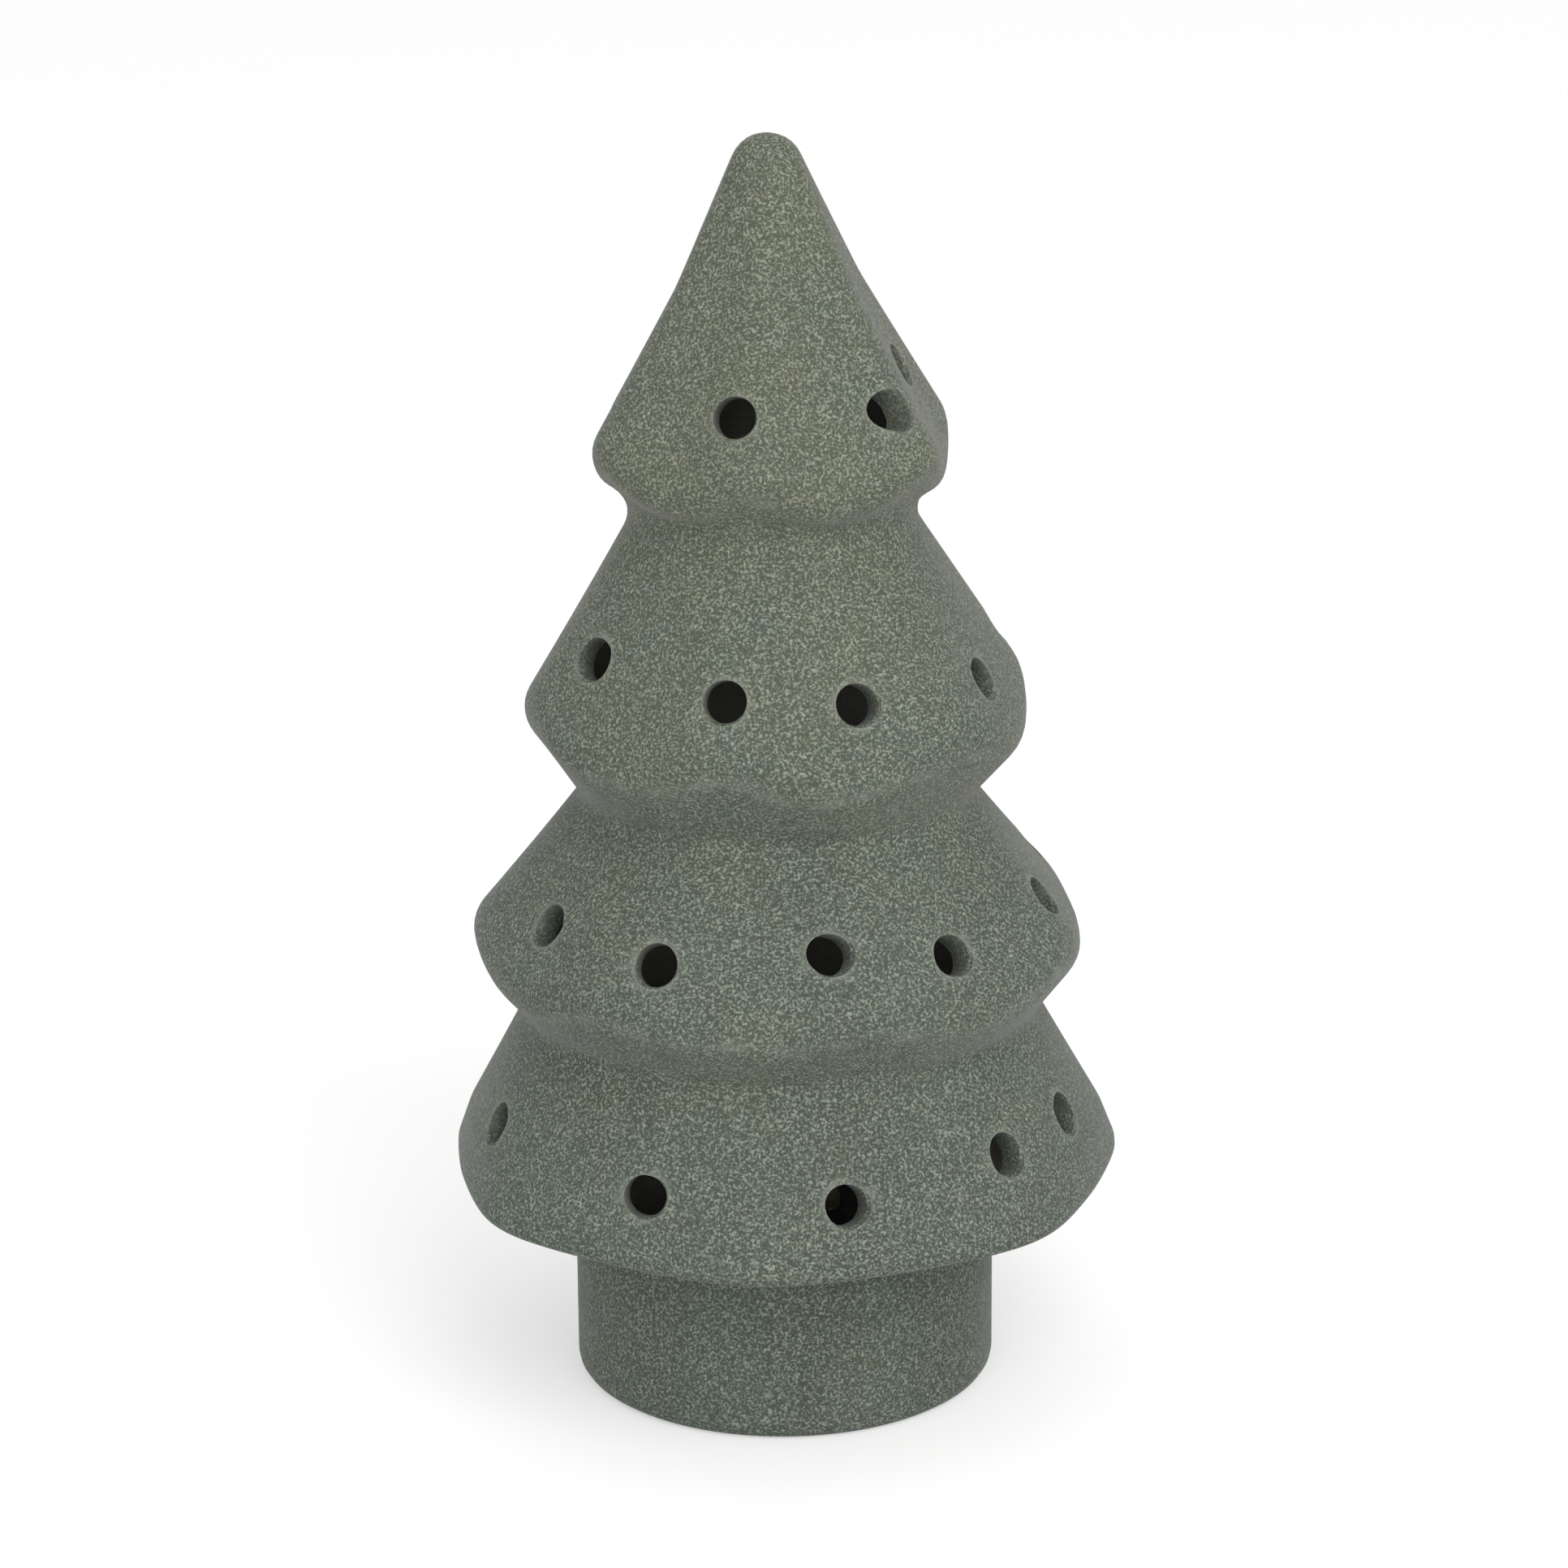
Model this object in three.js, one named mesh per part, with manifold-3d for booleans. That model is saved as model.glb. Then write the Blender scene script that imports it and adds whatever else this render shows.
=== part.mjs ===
// A pierced ceramic Christmas tree, hollow from foot to tip, with a small battery light pressed up into its foot.
// Millimetres, +Z up. The origin is the centre of the foot on the table, and the front of the tree faces -Y.
// An azimuth is in degrees, 0 at the front and positive towards +X.
import * as THREE from "three";
import { mergeVertices } from "three/addons/utils/BufferGeometryUtils.js";
import Module from "manifold-3d";

const wasm = await Module();
wasm.setup();

// Ceramic: trunk, foot ring and the pierced floor inside the foot
const TRUNK_HEIGHT = 27;
const TRUNK_CORNER = 1.6;
const FOOT_ROUND = 2.4;
const FOOT_RING_WIDTH = 3.45;
const FOOT_RECESS = 4;
const FLOOR_THICKNESS = 4;
const WALL = 3.8;
const TIGHTEST_CORNER = 1;
const ROOM_LEFT = 0.02;

// Ceramic: the four tiers, numbered from the ground up. The tuck is how far the hem stands above the neck below it,
// the rise is how far the cone climbs from the hem to the next neck, and the bend is a soft change of slope on the
// cone. The row of holes starts at the hole rise above the hem.
const TIER_1_TUCK = 4.7;
const TIER_1_HEM_RADIUS = 48.3;
const TIER_1_HEM_ROUND = 1.4;
const TIER_1_BEND_RISE = 6.5;
const TIER_1_BEND_RADIUS = 46.1;
const TIER_1_BEND_ROUND = 9;
const TIER_1_RISE = 24.6;
const TIER_1_NECK_RADIUS = 36.6;
const TIER_1_NECK_ROUND = 3;
const TIER_1_HOLE_RISE = 11;
const TIER_2_TUCK = 10.2;
const TIER_2_HEM_RADIUS = 45;
const TIER_2_HEM_ROUND = 6;
const TIER_2_RISE = 21.9;
const TIER_2_NECK_RADIUS = 27.8;
const TIER_2_NECK_ROUND = 2.5;
const TIER_2_HOLE_RISE = 8.1;
const TIER_3_TUCK = 11.7;
const TIER_3_HEM_RADIUS = 36.8;
const TIER_3_HEM_ROUND = 6.2;
const TIER_3_RISE = 30.6;
const TIER_3_NECK_RADIUS = 18.6;
const TIER_3_NECK_ROUND = 5;
const TIER_3_HOLE_RISE = 10;
const TIER_4_TUCK = 5.6;
const TIER_4_HEM_RADIUS = 26.9;
const TIER_4_HEM_ROUND = 6;
const TIER_4_BEND_RISE = 24.7;
const TIER_4_BEND_RADIUS = 13.2;
const TIER_4_BEND_ROUND = 40;
const TIER_4_RISE = 46.1;
const TIER_4_NECK_RADIUS = 3.4;
const TIER_4_NECK_ROUND = 6;
const TIER_4_HOLE_RISE = 11.7;

// Ceramic: soft boughs go round each tier, the first at its own azimuth. Their depth is a share of the radius, and
// their tips lift the hem by the lift. Each hole has an azimuth and, in hole diameters, the height that the hand
// missed the row by. The drill was held flatter than square to the wall, by its tilt as a share of the wall's slope.
const TIERS = [
  {
    tuck: TIER_1_TUCK, hemRadius: TIER_1_HEM_RADIUS, hemRound: TIER_1_HEM_ROUND,
    bend: { rise: TIER_1_BEND_RISE, radius: TIER_1_BEND_RADIUS, round: TIER_1_BEND_ROUND },
    rise: TIER_1_RISE, neckRadius: TIER_1_NECK_RADIUS, neckRound: TIER_1_NECK_ROUND, holeRise: TIER_1_HOLE_RISE,
    boughs: 7, firstBough: -56, boughDepth: 0.018, boughLift: 0,
    holes: [
      [-69.5, 0.06], [-26, -0.18], [11.5, -0.2], [46, 0.19], [70, 0.16],
      [107, -0.04], [143, -0.16], [180, 0.12], [217, 0.03], [253, 0],
    ],
  },
  {
    tuck: TIER_2_TUCK, hemRadius: TIER_2_HEM_RADIUS, hemRound: TIER_2_HEM_ROUND,
    rise: TIER_2_RISE, neckRadius: TIER_2_NECK_RADIUS, neckRound: TIER_2_NECK_ROUND, holeRise: TIER_2_HOLE_RISE,
    boughs: 7, firstBough: -35, boughDepth: 0.009, boughLift: 1.3,
    holes: [
      [-58, 0.11], [-25.5, -0.12], [10.5, 0.17], [38, -0.07], [74.5, -0.02],
      [112, -0.06], [148, 0.09], [184, -0.08], [220, -0.11], [254, 0.08],
    ],
  },
  {
    tuck: TIER_3_TUCK, hemRadius: TIER_3_HEM_RADIUS, hemRound: TIER_3_HEM_ROUND,
    rise: TIER_3_RISE, neckRadius: TIER_3_NECK_RADIUS, neckRound: TIER_3_NECK_ROUND, holeRise: TIER_3_HOLE_RISE,
    boughs: 6, firstBough: -74, boughDepth: 0.003, boughLift: 2.1,
    holes: [
      [-58, 0.36], [-12.5, -0.21], [21.5, 0.04], [66.5, -0.21],
      [104, -0.31], [142, 0.25], [180, -0.09], [219, -0.13], [254, 0.17],
    ],
  },
  {
    tuck: TIER_4_TUCK, hemRadius: TIER_4_HEM_RADIUS, hemRound: TIER_4_HEM_ROUND,
    bend: { rise: TIER_4_BEND_RISE, radius: TIER_4_BEND_RADIUS, round: TIER_4_BEND_ROUND },
    rise: TIER_4_RISE, neckRadius: TIER_4_NECK_RADIUS, neckRound: TIER_4_NECK_ROUND, holeRise: TIER_4_HOLE_RISE,
    boughs: 6, firstBough: -66, boughDepth: 0.032, boughLift: 1.9,
    holes: [[-13.5, -0.24], [49, -0.42], [84, 0.55], [146, 0.11], [200, 0], [252, 0.09]],
  },
];
const HOLE_DIAMETER = 6;
const HOLE_REACH = 9;
const DRILL_TILT = 0.6;
const LEAN = 0.0083;
const BOUGH_SHARPNESS = 1.4;
const BOUGH_LEVEL = 0.42;

// Fits: between pieces that stay together, and between pieces that move
const GAP = 0.3;
const SLIDE_GAP = 0.4;
const RECESS_CLEARANCE = 1.4;

// Light unit: cells and contacts
const CELLS = 3;
const CELL_DIAMETER = 11.6;
const CELL_THICKNESS = 5.4;
const CELL_CAP_DIAMETER = 9;
const CELL_CAP_HEIGHT = 0.4;
const CONTACT_THICKNESS = 0.4;
const CONTACT_WIDTH = 7;
const TAIL_WIDTH = 2;
const SPRING_LENGTH = 3;
const SPRING_TURNS = 2.5;
const SPRING_RADIUS = 3.2;
const SPRING_WIRE = 0.3;

// Light unit: housing, cover, grip ring and screws
const PLATE_THICKNESS = 2.6;
const FLANGE_REACH = 2.2;
const HOUSING_WALL = 1.4;
const HOUSING_ROOM = 1.5;
const BAY_WALL = 1.2;
const BAY_CENTRE_Y = 1.5;
const HEADROOM = 1.5;
const GRIP_THICKNESS = 2.2;
const GRIP_RIBS = 3;
const GRIP_RIB_DEPTH = 0.5;
const GRIP_PROUD = 1;
const COVER_THICKNESS = 1.5;
const COVER_BEVEL = 0.4;
const COVER_LIP = 1;
const SCREW_RADIUS = 0.9;
const SCREW_HEAD_RADIUS = 1.8;
const SCREW_HEAD_HEIGHT = 1;
const BOSS_WALL = 1;
const COVER_SCREWS = 3;
const COVER_SCREW_LENGTH = 7;
const DOOR_SCREW_LENGTH = 6;

// Light unit: battery door
const DOOR_THICKNESS = 1.8;
const DOOR_EAR_THICKNESS = 1.4;
const DOOR_EAR_WIDTH = 6.4;
const DOOR_EAR_RIM = 0.7;

// Light unit: board, lights and switch
const BOARD_THICKNESS = 1.2;
const LIGHTS = 3;
const LIGHT_RING_RADIUS = 6.6;
const LIGHT_RADIUS = 2.5;
const LIGHT_FLANGE_RADIUS = 2.9;
const LIGHT_FLANGE_HEIGHT = 1;
const LIGHT_HEIGHT = 8.6;
const SWITCH_LENGTH = 8.4;
const SWITCH_WIDTH = 3.6;
const SWITCH_HEIGHT = 3.4;
const SWITCH_FROM_BAY = 3.7;
const KNOB_LENGTH = 2.4;
const KNOB_WIDTH = 1.6;
const KNOB_TRAVEL = 3;
const KNOB_PROUD = 0.4;
const KNOB_GROOVES = 2;
const KNOB_GROOVE_WIDTH = 0.4;
const WIRE_RADIUS = 0.5;
const WIRE_SPACING = 4;

// How finely the round shapes are divided, arcs in degrees per step
const AROUND_OUTSIDE = 48;
const AROUND_INSIDE = 28;
const ARC_STEP_OUTSIDE = 32;
const ARC_STEP_INSIDE = 45;
const HOLE_SIDES = 10;
const ROUND_SIDES = 24;
const SMALL_SIDES = 12;
const DOME_STEPS = 3;
const TUBE_SIDES = 6;
const TUBE_STEPS = 10;
const STEPS_PER_TURN = 8;

// How far a cut runs past the face that it leaves by, and how far a joined shape reaches into its neighbour
const PAST = 1;
const ROOTED = 1;

// Sizes that follow: the cells set the bay, the bay sets the housing, and the housing sets the foot
const CELL_RADIUS = CELL_DIAMETER / 2;
const SPRING_END = GAP + CONTACT_THICKNESS + GAP + SPRING_LENGTH;
const BAY_LENGTH = SPRING_END + CELLS * (CELL_THICKNESS + GAP) + GAP + CONTACT_THICKNESS + GAP;
const BAY_WIDTH = CELL_DIAMETER + 2 * SLIDE_GAP;
const BAY_HALF = BAY_LENGTH / 2;
const BAY_FRONT = BAY_CENTRE_Y - BAY_WIDTH / 2;
const BAY_BACK = BAY_CENTRE_Y + BAY_WIDTH / 2;
const HOUSING_BORE = Math.hypot(BAY_HALF + BAY_WALL, BAY_BACK + BAY_WALL) + HOUSING_ROOM;
const HOUSING_RADIUS = HOUSING_BORE + HOUSING_WALL;
const OPENING_RADIUS = HOUSING_RADIUS + GAP + GRIP_THICKNESS + GAP;
const FLANGE_RADIUS = OPENING_RADIUS + FLANGE_REACH;
const RECESS_RADIUS = FLANGE_RADIUS + RECESS_CLEARANCE;
const TRUNK_RADIUS = RECESS_RADIUS + FOOT_RING_WIDTH + FOOT_ROUND;
const BORE_RADIUS = TRUNK_RADIUS - WALL;

const FLOOR_TOP = FOOT_RECESS + FLOOR_THICKNESS;
const PLATE_TOP = FOOT_RECESS - GAP;
const PLATE_BOTTOM = PLATE_TOP - PLATE_THICKNESS;
const CELL_AXIS = PLATE_BOTTOM + DOOR_THICKNESS + SLIDE_GAP + CELL_RADIUS;
const BAY_TOP = CELL_AXIS + CELL_RADIUS + SLIDE_GAP;
const BOARD_BOTTOM = BAY_TOP + BAY_WALL + GAP;
const LIGHT_BOTTOM = BOARD_BOTTOM + BOARD_THICKNESS + GAP;
const HOUSING_TOP = LIGHT_BOTTOM + LIGHT_FLANGE_HEIGHT + HEADROOM;
const COVER_BOTTOM = HOUSING_TOP + GAP;
const COVER_TOP = COVER_BOTTOM + COVER_THICKNESS;

const SCREW_BORE = SCREW_RADIUS + GAP;
const BOSS_RADIUS = SCREW_BORE + BOSS_WALL;
const BOSS_RING_RADIUS = HOUSING_BORE - SLIDE_GAP - BOSS_RADIUS;
const BOARD_RADIUS = BOSS_RING_RADIUS - BOSS_RADIUS - SLIDE_GAP;
const PLUS_X = BAY_HALF - GAP - CONTACT_THICKNESS;
const MINUS_X = -BAY_HALF + GAP;
const HINGE_X = -BAY_HALF - BAY_WALL;
const DOOR_SCREW_X = BAY_HALF + SCREW_HEAD_RADIUS + BAY_WALL;
const DOOR_END_X = DOOR_SCREW_X + SCREW_HEAD_RADIUS + GAP + DOOR_EAR_RIM;
const SWITCH_Y = BAY_FRONT - BAY_WALL - SWITCH_FROM_BAY - SWITCH_WIDTH / 2;
const SWITCH_BOTTOM = PLATE_TOP + GAP;
const SWITCH_TOP = SWITCH_BOTTOM + SWITCH_HEIGHT;

// The neck below, the hem and the neck above of each tier, as heights above the table
const LEVELS = [];
for (const { tuck, rise } of TIERS) {
  const below = LEVELS.length ? LEVELS[LEVELS.length - 1].above : TRUNK_HEIGHT;
  LEVELS.push({ below, hem: below + tuck, above: below + tuck + rise });
}
const TREE_HEIGHT = LEVELS[LEVELS.length - 1].above;

const degrees = (angle) => (angle * Math.PI) / 180;

// Places spread evenly on a circle
function ring(count, radius, first) {
  return Array.from({ length: count }, (_, i) => {
    const angle = degrees(first + (360 / count) * i);
    return [radius * Math.cos(angle), radius * Math.sin(angle)];
  });
}
const BOSSES = ring(COVER_SCREWS, BOSS_RING_RADIUS, 90);
const LIGHT_PLACES = ring(LIGHTS, LIGHT_RING_RADIUS, 30);

// A closed geometry as a solid that can be joined and cut
function solidOf(geometry) {
  const plain = geometry.clone();
  plain.deleteAttribute("normal");
  plain.deleteAttribute("uv");
  const merged = mergeVertices(plain, 1e-4);
  return new wasm.Manifold(
    new wasm.Mesh({
      numProp: 3,
      vertProperties: new Float32Array(merged.attributes.position.array),
      triVerts: new Uint32Array(merged.index.array),
    }),
  );
}

function geometryOf(solid) {
  const mesh = solid.getMesh();
  const geometry = new THREE.BufferGeometry();
  geometry.setAttribute("position", new THREE.BufferAttribute(mesh.vertProperties, 3));
  geometry.setIndex(new THREE.BufferAttribute(mesh.triVerts, 1));
  const faceted = geometry.toNonIndexed();
  faceted.computeVertexNormals();
  return faceted;
}

const cut = (solid, ...tools) => tools.reduce((rest, tool) => rest.subtract(tool), solid);
const join = (solid, ...others) => others.reduce((whole, other) => whole.add(other), solid);

// Shapes that the pieces share
function cylinder(radius, bottom, top, x = 0, y = 0, sides = ROUND_SIDES) {
  const geometry = new THREE.CylinderGeometry(radius, radius, top - bottom, sides);
  return solidOf(geometry.rotateX(Math.PI / 2).translate(x, y, (bottom + top) / 2));
}

function block([x0, x1], [y0, y1], [z0, z1]) {
  const geometry = new THREE.BoxGeometry(x1 - x0, y1 - y0, z1 - z0);
  return solidOf(geometry.translate((x0 + x1) / 2, (y0 + y1) / 2, (z0 + z1) / 2));
}

const span = (centre, half) => [centre - half, centre + half];

function turned(outline, sides = ROUND_SIDES, x = 0, y = 0) {
  const points = outline.map(([radius, height]) => new THREE.Vector2(radius, height));
  return solidOf(new THREE.LatheGeometry(points, sides).rotateX(Math.PI / 2).translate(x, y, 0));
}

function tube(curve, radius, steps) {
  const section = new THREE.Shape(
    ring(TUBE_SIDES, radius, 0).map(([x, y]) => new THREE.Vector2(x, y)),
  );
  return solidOf(new THREE.ExtrudeGeometry(section, { steps, bevelEnabled: false, extrudePath: curve }));
}

// A flat-headed screw. way is 1 where its tip is above its head and -1 where it is below.
function screw(x, y, headFace, length, way) {
  const outline = [
    [0, headFace],
    [SCREW_HEAD_RADIUS, headFace],
    [SCREW_HEAD_RADIUS, headFace + way * SCREW_HEAD_HEIGHT],
    [SCREW_RADIUS, headFace + way * SCREW_HEAD_HEIGHT],
    [SCREW_RADIUS, headFace + way * (length - SCREW_RADIUS)],
    [0, headFace + way * length],
  ];
  return turned(way > 0 ? outline : outline.reverse(), SMALL_SIDES, x, y);
}

// An outline of straight runs whose corners are rounded, each corner as [radius, height, rounding]. Two rounded
// corners share the run between them, and a plain one leaves it all to its neighbour.
function rounded(corners, step) {
  const points = [];
  corners.forEach(([x, y, rounding], i) => {
    const here = new THREE.Vector2(x, y);
    if (!rounding) {
      points.push(here);
      return;
    }
    const back = new THREE.Vector2(...corners[i - 1]).sub(here);
    const on = new THREE.Vector2(...corners[i + 1]).sub(here);
    const room = Math.min(
      ...[[back, corners[i - 1]], [on, corners[i + 1]]].map(
        ([run, [, , beside]]) => (run.length() / (beside ? 2 : 1)) * (1 - ROOM_LEFT),
      ),
    );
    back.normalize();
    on.normalize();
    const half = Math.acos(back.dot(on)) / 2;
    const reach = Math.min(rounding / Math.tan(half), room);
    const toCentre = reach / Math.cos(half);
    const centre = back.clone().add(on).setLength(toCentre).add(here);
    const start = back.multiplyScalar(reach).add(here).sub(centre);
    const end = on.multiplyScalar(reach).add(here).sub(centre);
    const turn = Math.atan2(start.cross(end), start.dot(end));
    const steps = Math.max(1, Math.ceil(Math.abs(turn) / degrees(step)));
    for (let k = 0; k <= steps; k += 1) {
      points.push(start.clone().rotateAround(new THREE.Vector2(), (turn * k) / steps).add(centre));
    }
  });
  return points;
}

// The corners of the tree's outside, from the table up to the tip
function outsideCorners() {
  const corners = [
    [TRUNK_RADIUS, 0, FOOT_ROUND],
    [TRUNK_RADIUS, TRUNK_HEIGHT, TRUNK_CORNER],
  ];
  TIERS.forEach(({ hemRadius, hemRound, bend, neckRadius, neckRound }, i) => {
    const { hem, above } = LEVELS[i];
    corners.push([hemRadius, hem, hemRound]);
    if (bend) corners.push([bend.radius, hem + bend.rise, bend.round]);
    corners.push([neckRadius, above, neckRound]);
  });
  return corners;
}

// The same corners moved in by the wall, so that bulges are rounded tighter and hollows wider
function insideCorners(corners) {
  return corners.map(([x, y, rounding], i) => {
    const here = new THREE.Vector2(x, y);
    const before = i ? new THREE.Vector2(...corners[i - 1]) : new THREE.Vector2(x, y - 1);
    const after = corners[i + 1] ? new THREE.Vector2(...corners[i + 1]) : new THREE.Vector2(0, y);
    const a = here.clone().sub(before).normalize();
    const b = after.sub(here).normalize();
    const inward = WALL / (1 + a.dot(b));
    const bulges = a.cross(b) > 0;
    return [
      x - inward * (a.y + b.y),
      y + inward * (a.x + b.x),
      bulges ? Math.max(rounding - WALL, TIGHTEST_CORNER) : rounding + WALL,
    ];
  });
}

// How much of its boughs a tier shows at a height: none at its necks, all at its hem
function boughShare({ below, hem, above }, height) {
  return Math.max(0, Math.min((height - below) / (hem - below), (above - height) / (above - hem)));
}

// How far the boughs swell the radius, as a factor, and lift the wall at an azimuth and a height
function boughsAt(azimuth, height) {
  const swell = { factor: 1, lift: 0 };
  TIERS.forEach(({ boughs, firstBough, boughDepth, boughLift }, i) => {
    const wave = (1 + Math.cos(boughs * (azimuth - degrees(firstBough)))) / 2;
    const shape = 2 * (Math.pow(wave, BOUGH_SHARPNESS) - BOUGH_LEVEL) * boughShare(LEVELS[i], height);
    swell.factor += boughDepth * shape;
    swell.lift += boughLift * shape;
  });
  return swell;
}

const leanAt = (height) => -LEAN * Math.max(height - TRUNK_HEIGHT, 0);

// Turns an outline into a skin, swells it into boughs and leans it a little, as the hand left it
function skin(outline, around) {
  const geometry = new THREE.LatheGeometry(outline, around).rotateX(Math.PI / 2);
  const position = geometry.attributes.position;
  for (let i = 0; i < position.count; i += 1) {
    const [x, y, z] = [position.getX(i), position.getY(i), position.getZ(i)];
    const { factor, lift } = boughsAt(Math.atan2(x, -y), z);
    position.setXYZ(i, x * factor + leanAt(z), y * factor, z + lift);
  }
  return solidOf(geometry);
}

// A drilled hole
function holeTool(outline, azimuth, height) {
  const next = outline.findIndex((point, i) => i > 0 && outline[i - 1].y <= height && height < point.y);
  const [low, high] = [outline[next - 1], outline[next]];
  const slope = (low.x - high.x) / (high.y - low.y);
  const { factor, lift } = boughsAt(degrees(azimuth), height);
  const radius = (low.x - slope * (height - low.y)) * factor;
  const out = new THREE.Vector3(Math.sin(degrees(azimuth)), -Math.cos(degrees(azimuth)), 0);
  const drill = new THREE.CylinderGeometry(HOLE_DIAMETER / 2, HOLE_DIAMETER / 2, 2 * HOLE_REACH, HOLE_SIDES);
  const way = out.clone().setZ(DRILL_TILT * slope).normalize();
  drill.applyQuaternion(new THREE.Quaternion().setFromUnitVectors(new THREE.Vector3(0, 1, 0), way));
  return solidOf(drill.translate(out.x * radius + leanAt(height), out.y * radius, height + lift));
}

function treeShell() {
  const corners = outsideCorners();
  const outside = rounded([[0, 0, 0], ...corners, [0, TREE_HEIGHT, 0]], ARC_STEP_OUTSIDE);
  const inner = insideCorners(corners);
  inner[0] = [BORE_RADIUS, FLOOR_TOP, 0];
  const crown = inner[inner.length - 1][1];
  const inside = rounded([[0, FLOOR_TOP, 0], ...inner, [0, crown, 0]], ARC_STEP_INSIDE);
  const holes = TIERS.flatMap((tier, i) =>
    tier.holes.map(([azimuth, missed]) =>
      holeTool(outside, azimuth, LEVELS[i].hem + tier.holeRise + missed * HOLE_DIAMETER),
    ),
  );
  return cut(
    skin(outside, AROUND_OUTSIDE),
    skin(inside, AROUND_INSIDE),
    cylinder(RECESS_RADIUS, -PAST, FOOT_RECESS),
    cylinder(OPENING_RADIUS, -PAST, FLOOR_TOP + PAST),
    ...holes,
  );
}

// The room for the cells, grown by a wall where it is a box and by nothing where it is the hollow
const bayBlock = (wall, bottom) =>
  block([-BAY_HALF - wall, BAY_HALF + wall], [BAY_FRONT - wall, BAY_BACK + wall], [bottom, BAY_TOP + wall]);

// A slot through the bay's roof for a contact's tail
const tailSlot = (x) =>
  block(
    [x - GAP, x + CONTACT_THICKNESS + GAP / 2],
    span(BAY_CENTRE_Y, TAIL_WIDTH / 2 + GAP),
    [BAY_TOP - PAST, BAY_TOP + BAY_WALL + PAST],
  );

// The door's round hinge edge, leaf and ear, or with a gap and a way down the recess that it lies in
function doorForm(gap, below) {
  const half = DOOR_THICKNESS / 2;
  const side = new THREE.Shape();
  side.moveTo(BAY_HALF + gap, half + gap);
  side.lineTo(HINGE_X, half + gap);
  side.absarc(HINGE_X, 0, half + gap, Math.PI / 2, (3 * Math.PI) / 2);
  side.lineTo(HINGE_X, -half - below);
  side.lineTo(BAY_HALF + gap, -half - below);
  const depth = BAY_WIDTH + 2 * gap;
  const leaf = new THREE.ExtrudeGeometry(side, { depth, bevelEnabled: false, curveSegments: SMALL_SIDES / 3 });
  leaf.rotateX(Math.PI / 2).translate(0, BAY_CENTRE_Y + depth / 2, PLATE_BOTTOM + half);
  return join(
    solidOf(leaf),
    block(
      [BAY_HALF - ROOTED, DOOR_END_X + gap],
      span(BAY_CENTRE_Y, DOOR_EAR_WIDTH / 2 + gap),
      [PLATE_BOTTOM - below, PLATE_BOTTOM + DOOR_EAR_THICKNESS + gap],
    ),
  );
}

function lightHousing() {
  const cup = turned([
    [0, PLATE_BOTTOM], [FLANGE_RADIUS, PLATE_BOTTOM], [FLANGE_RADIUS, PLATE_TOP], [HOUSING_RADIUS, PLATE_TOP],
    [HOUSING_RADIUS, HOUSING_TOP], [HOUSING_BORE, HOUSING_TOP], [HOUSING_BORE, PLATE_TOP], [0, PLATE_TOP],
  ]);
  const root = PLATE_TOP - ROOTED;
  const bosses = BOSSES.map(([x, y]) => cylinder(BOSS_RADIUS, root, HOUSING_TOP, x, y, SMALL_SIDES));
  const doorBoss = cylinder(
    BOSS_RADIUS, root, PLATE_BOTTOM + DOOR_SCREW_LENGTH + BOSS_WALL, DOOR_SCREW_X, BAY_CENTRE_Y, SMALL_SIDES,
  );
  const coverBores = BOSSES.map(([x, y]) =>
    cylinder(SCREW_BORE, HOUSING_TOP - COVER_SCREW_LENGTH, HOUSING_TOP + PAST, x, y, SMALL_SIDES),
  );
  const doorBore = cylinder(
    SCREW_BORE, PLATE_BOTTOM - PAST, PLATE_BOTTOM + DOOR_SCREW_LENGTH + GAP, DOOR_SCREW_X, BAY_CENTRE_Y, SMALL_SIDES,
  );
  const slot = block(
    span(0, (KNOB_LENGTH + KNOB_TRAVEL) / 2 + SLIDE_GAP),
    span(SWITCH_Y, KNOB_WIDTH / 2 + SLIDE_GAP),
    [PLATE_BOTTOM - PAST, PLATE_TOP + PAST],
  );
  return cut(
    join(cup, bayBlock(BAY_WALL, root), doorBoss, ...bosses),
    bayBlock(0, PLATE_BOTTOM + ROOTED),
    doorForm(GAP, PAST),
    tailSlot(PLUS_X),
    tailSlot(MINUS_X),
    doorBore,
    slot,
    ...coverBores,
  );
}

function lightCover() {
  const disc = turned([
    [0, COVER_BOTTOM], [HOUSING_RADIUS, COVER_BOTTOM], [HOUSING_RADIUS, COVER_TOP - COVER_BEVEL],
    [HOUSING_RADIUS - COVER_BEVEL, COVER_TOP], [0, COVER_TOP],
  ]);
  const lipOutside = HOUSING_BORE - GAP;
  const lipBottom = COVER_BOTTOM - COVER_LIP;
  const lip = cut(
    cylinder(lipOutside, lipBottom, COVER_BOTTOM + COVER_BEVEL),
    cylinder(lipOutside - HOUSING_WALL, lipBottom - PAST, COVER_TOP),
    ...BOSSES.map(([x, y]) => cylinder(BOSS_RADIUS + GAP, lipBottom - PAST, COVER_BOTTOM, x, y, SMALL_SIDES)),
  );
  const through = (radius) => ([x, y]) => cylinder(radius, lipBottom - PAST, COVER_TOP + PAST, x, y, SMALL_SIDES);
  return cut(
    join(disc, lip),
    ...LIGHT_PLACES.map(through(LIGHT_RADIUS + GAP)),
    ...BOSSES.map(through(SCREW_BORE)),
  );
}

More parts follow.
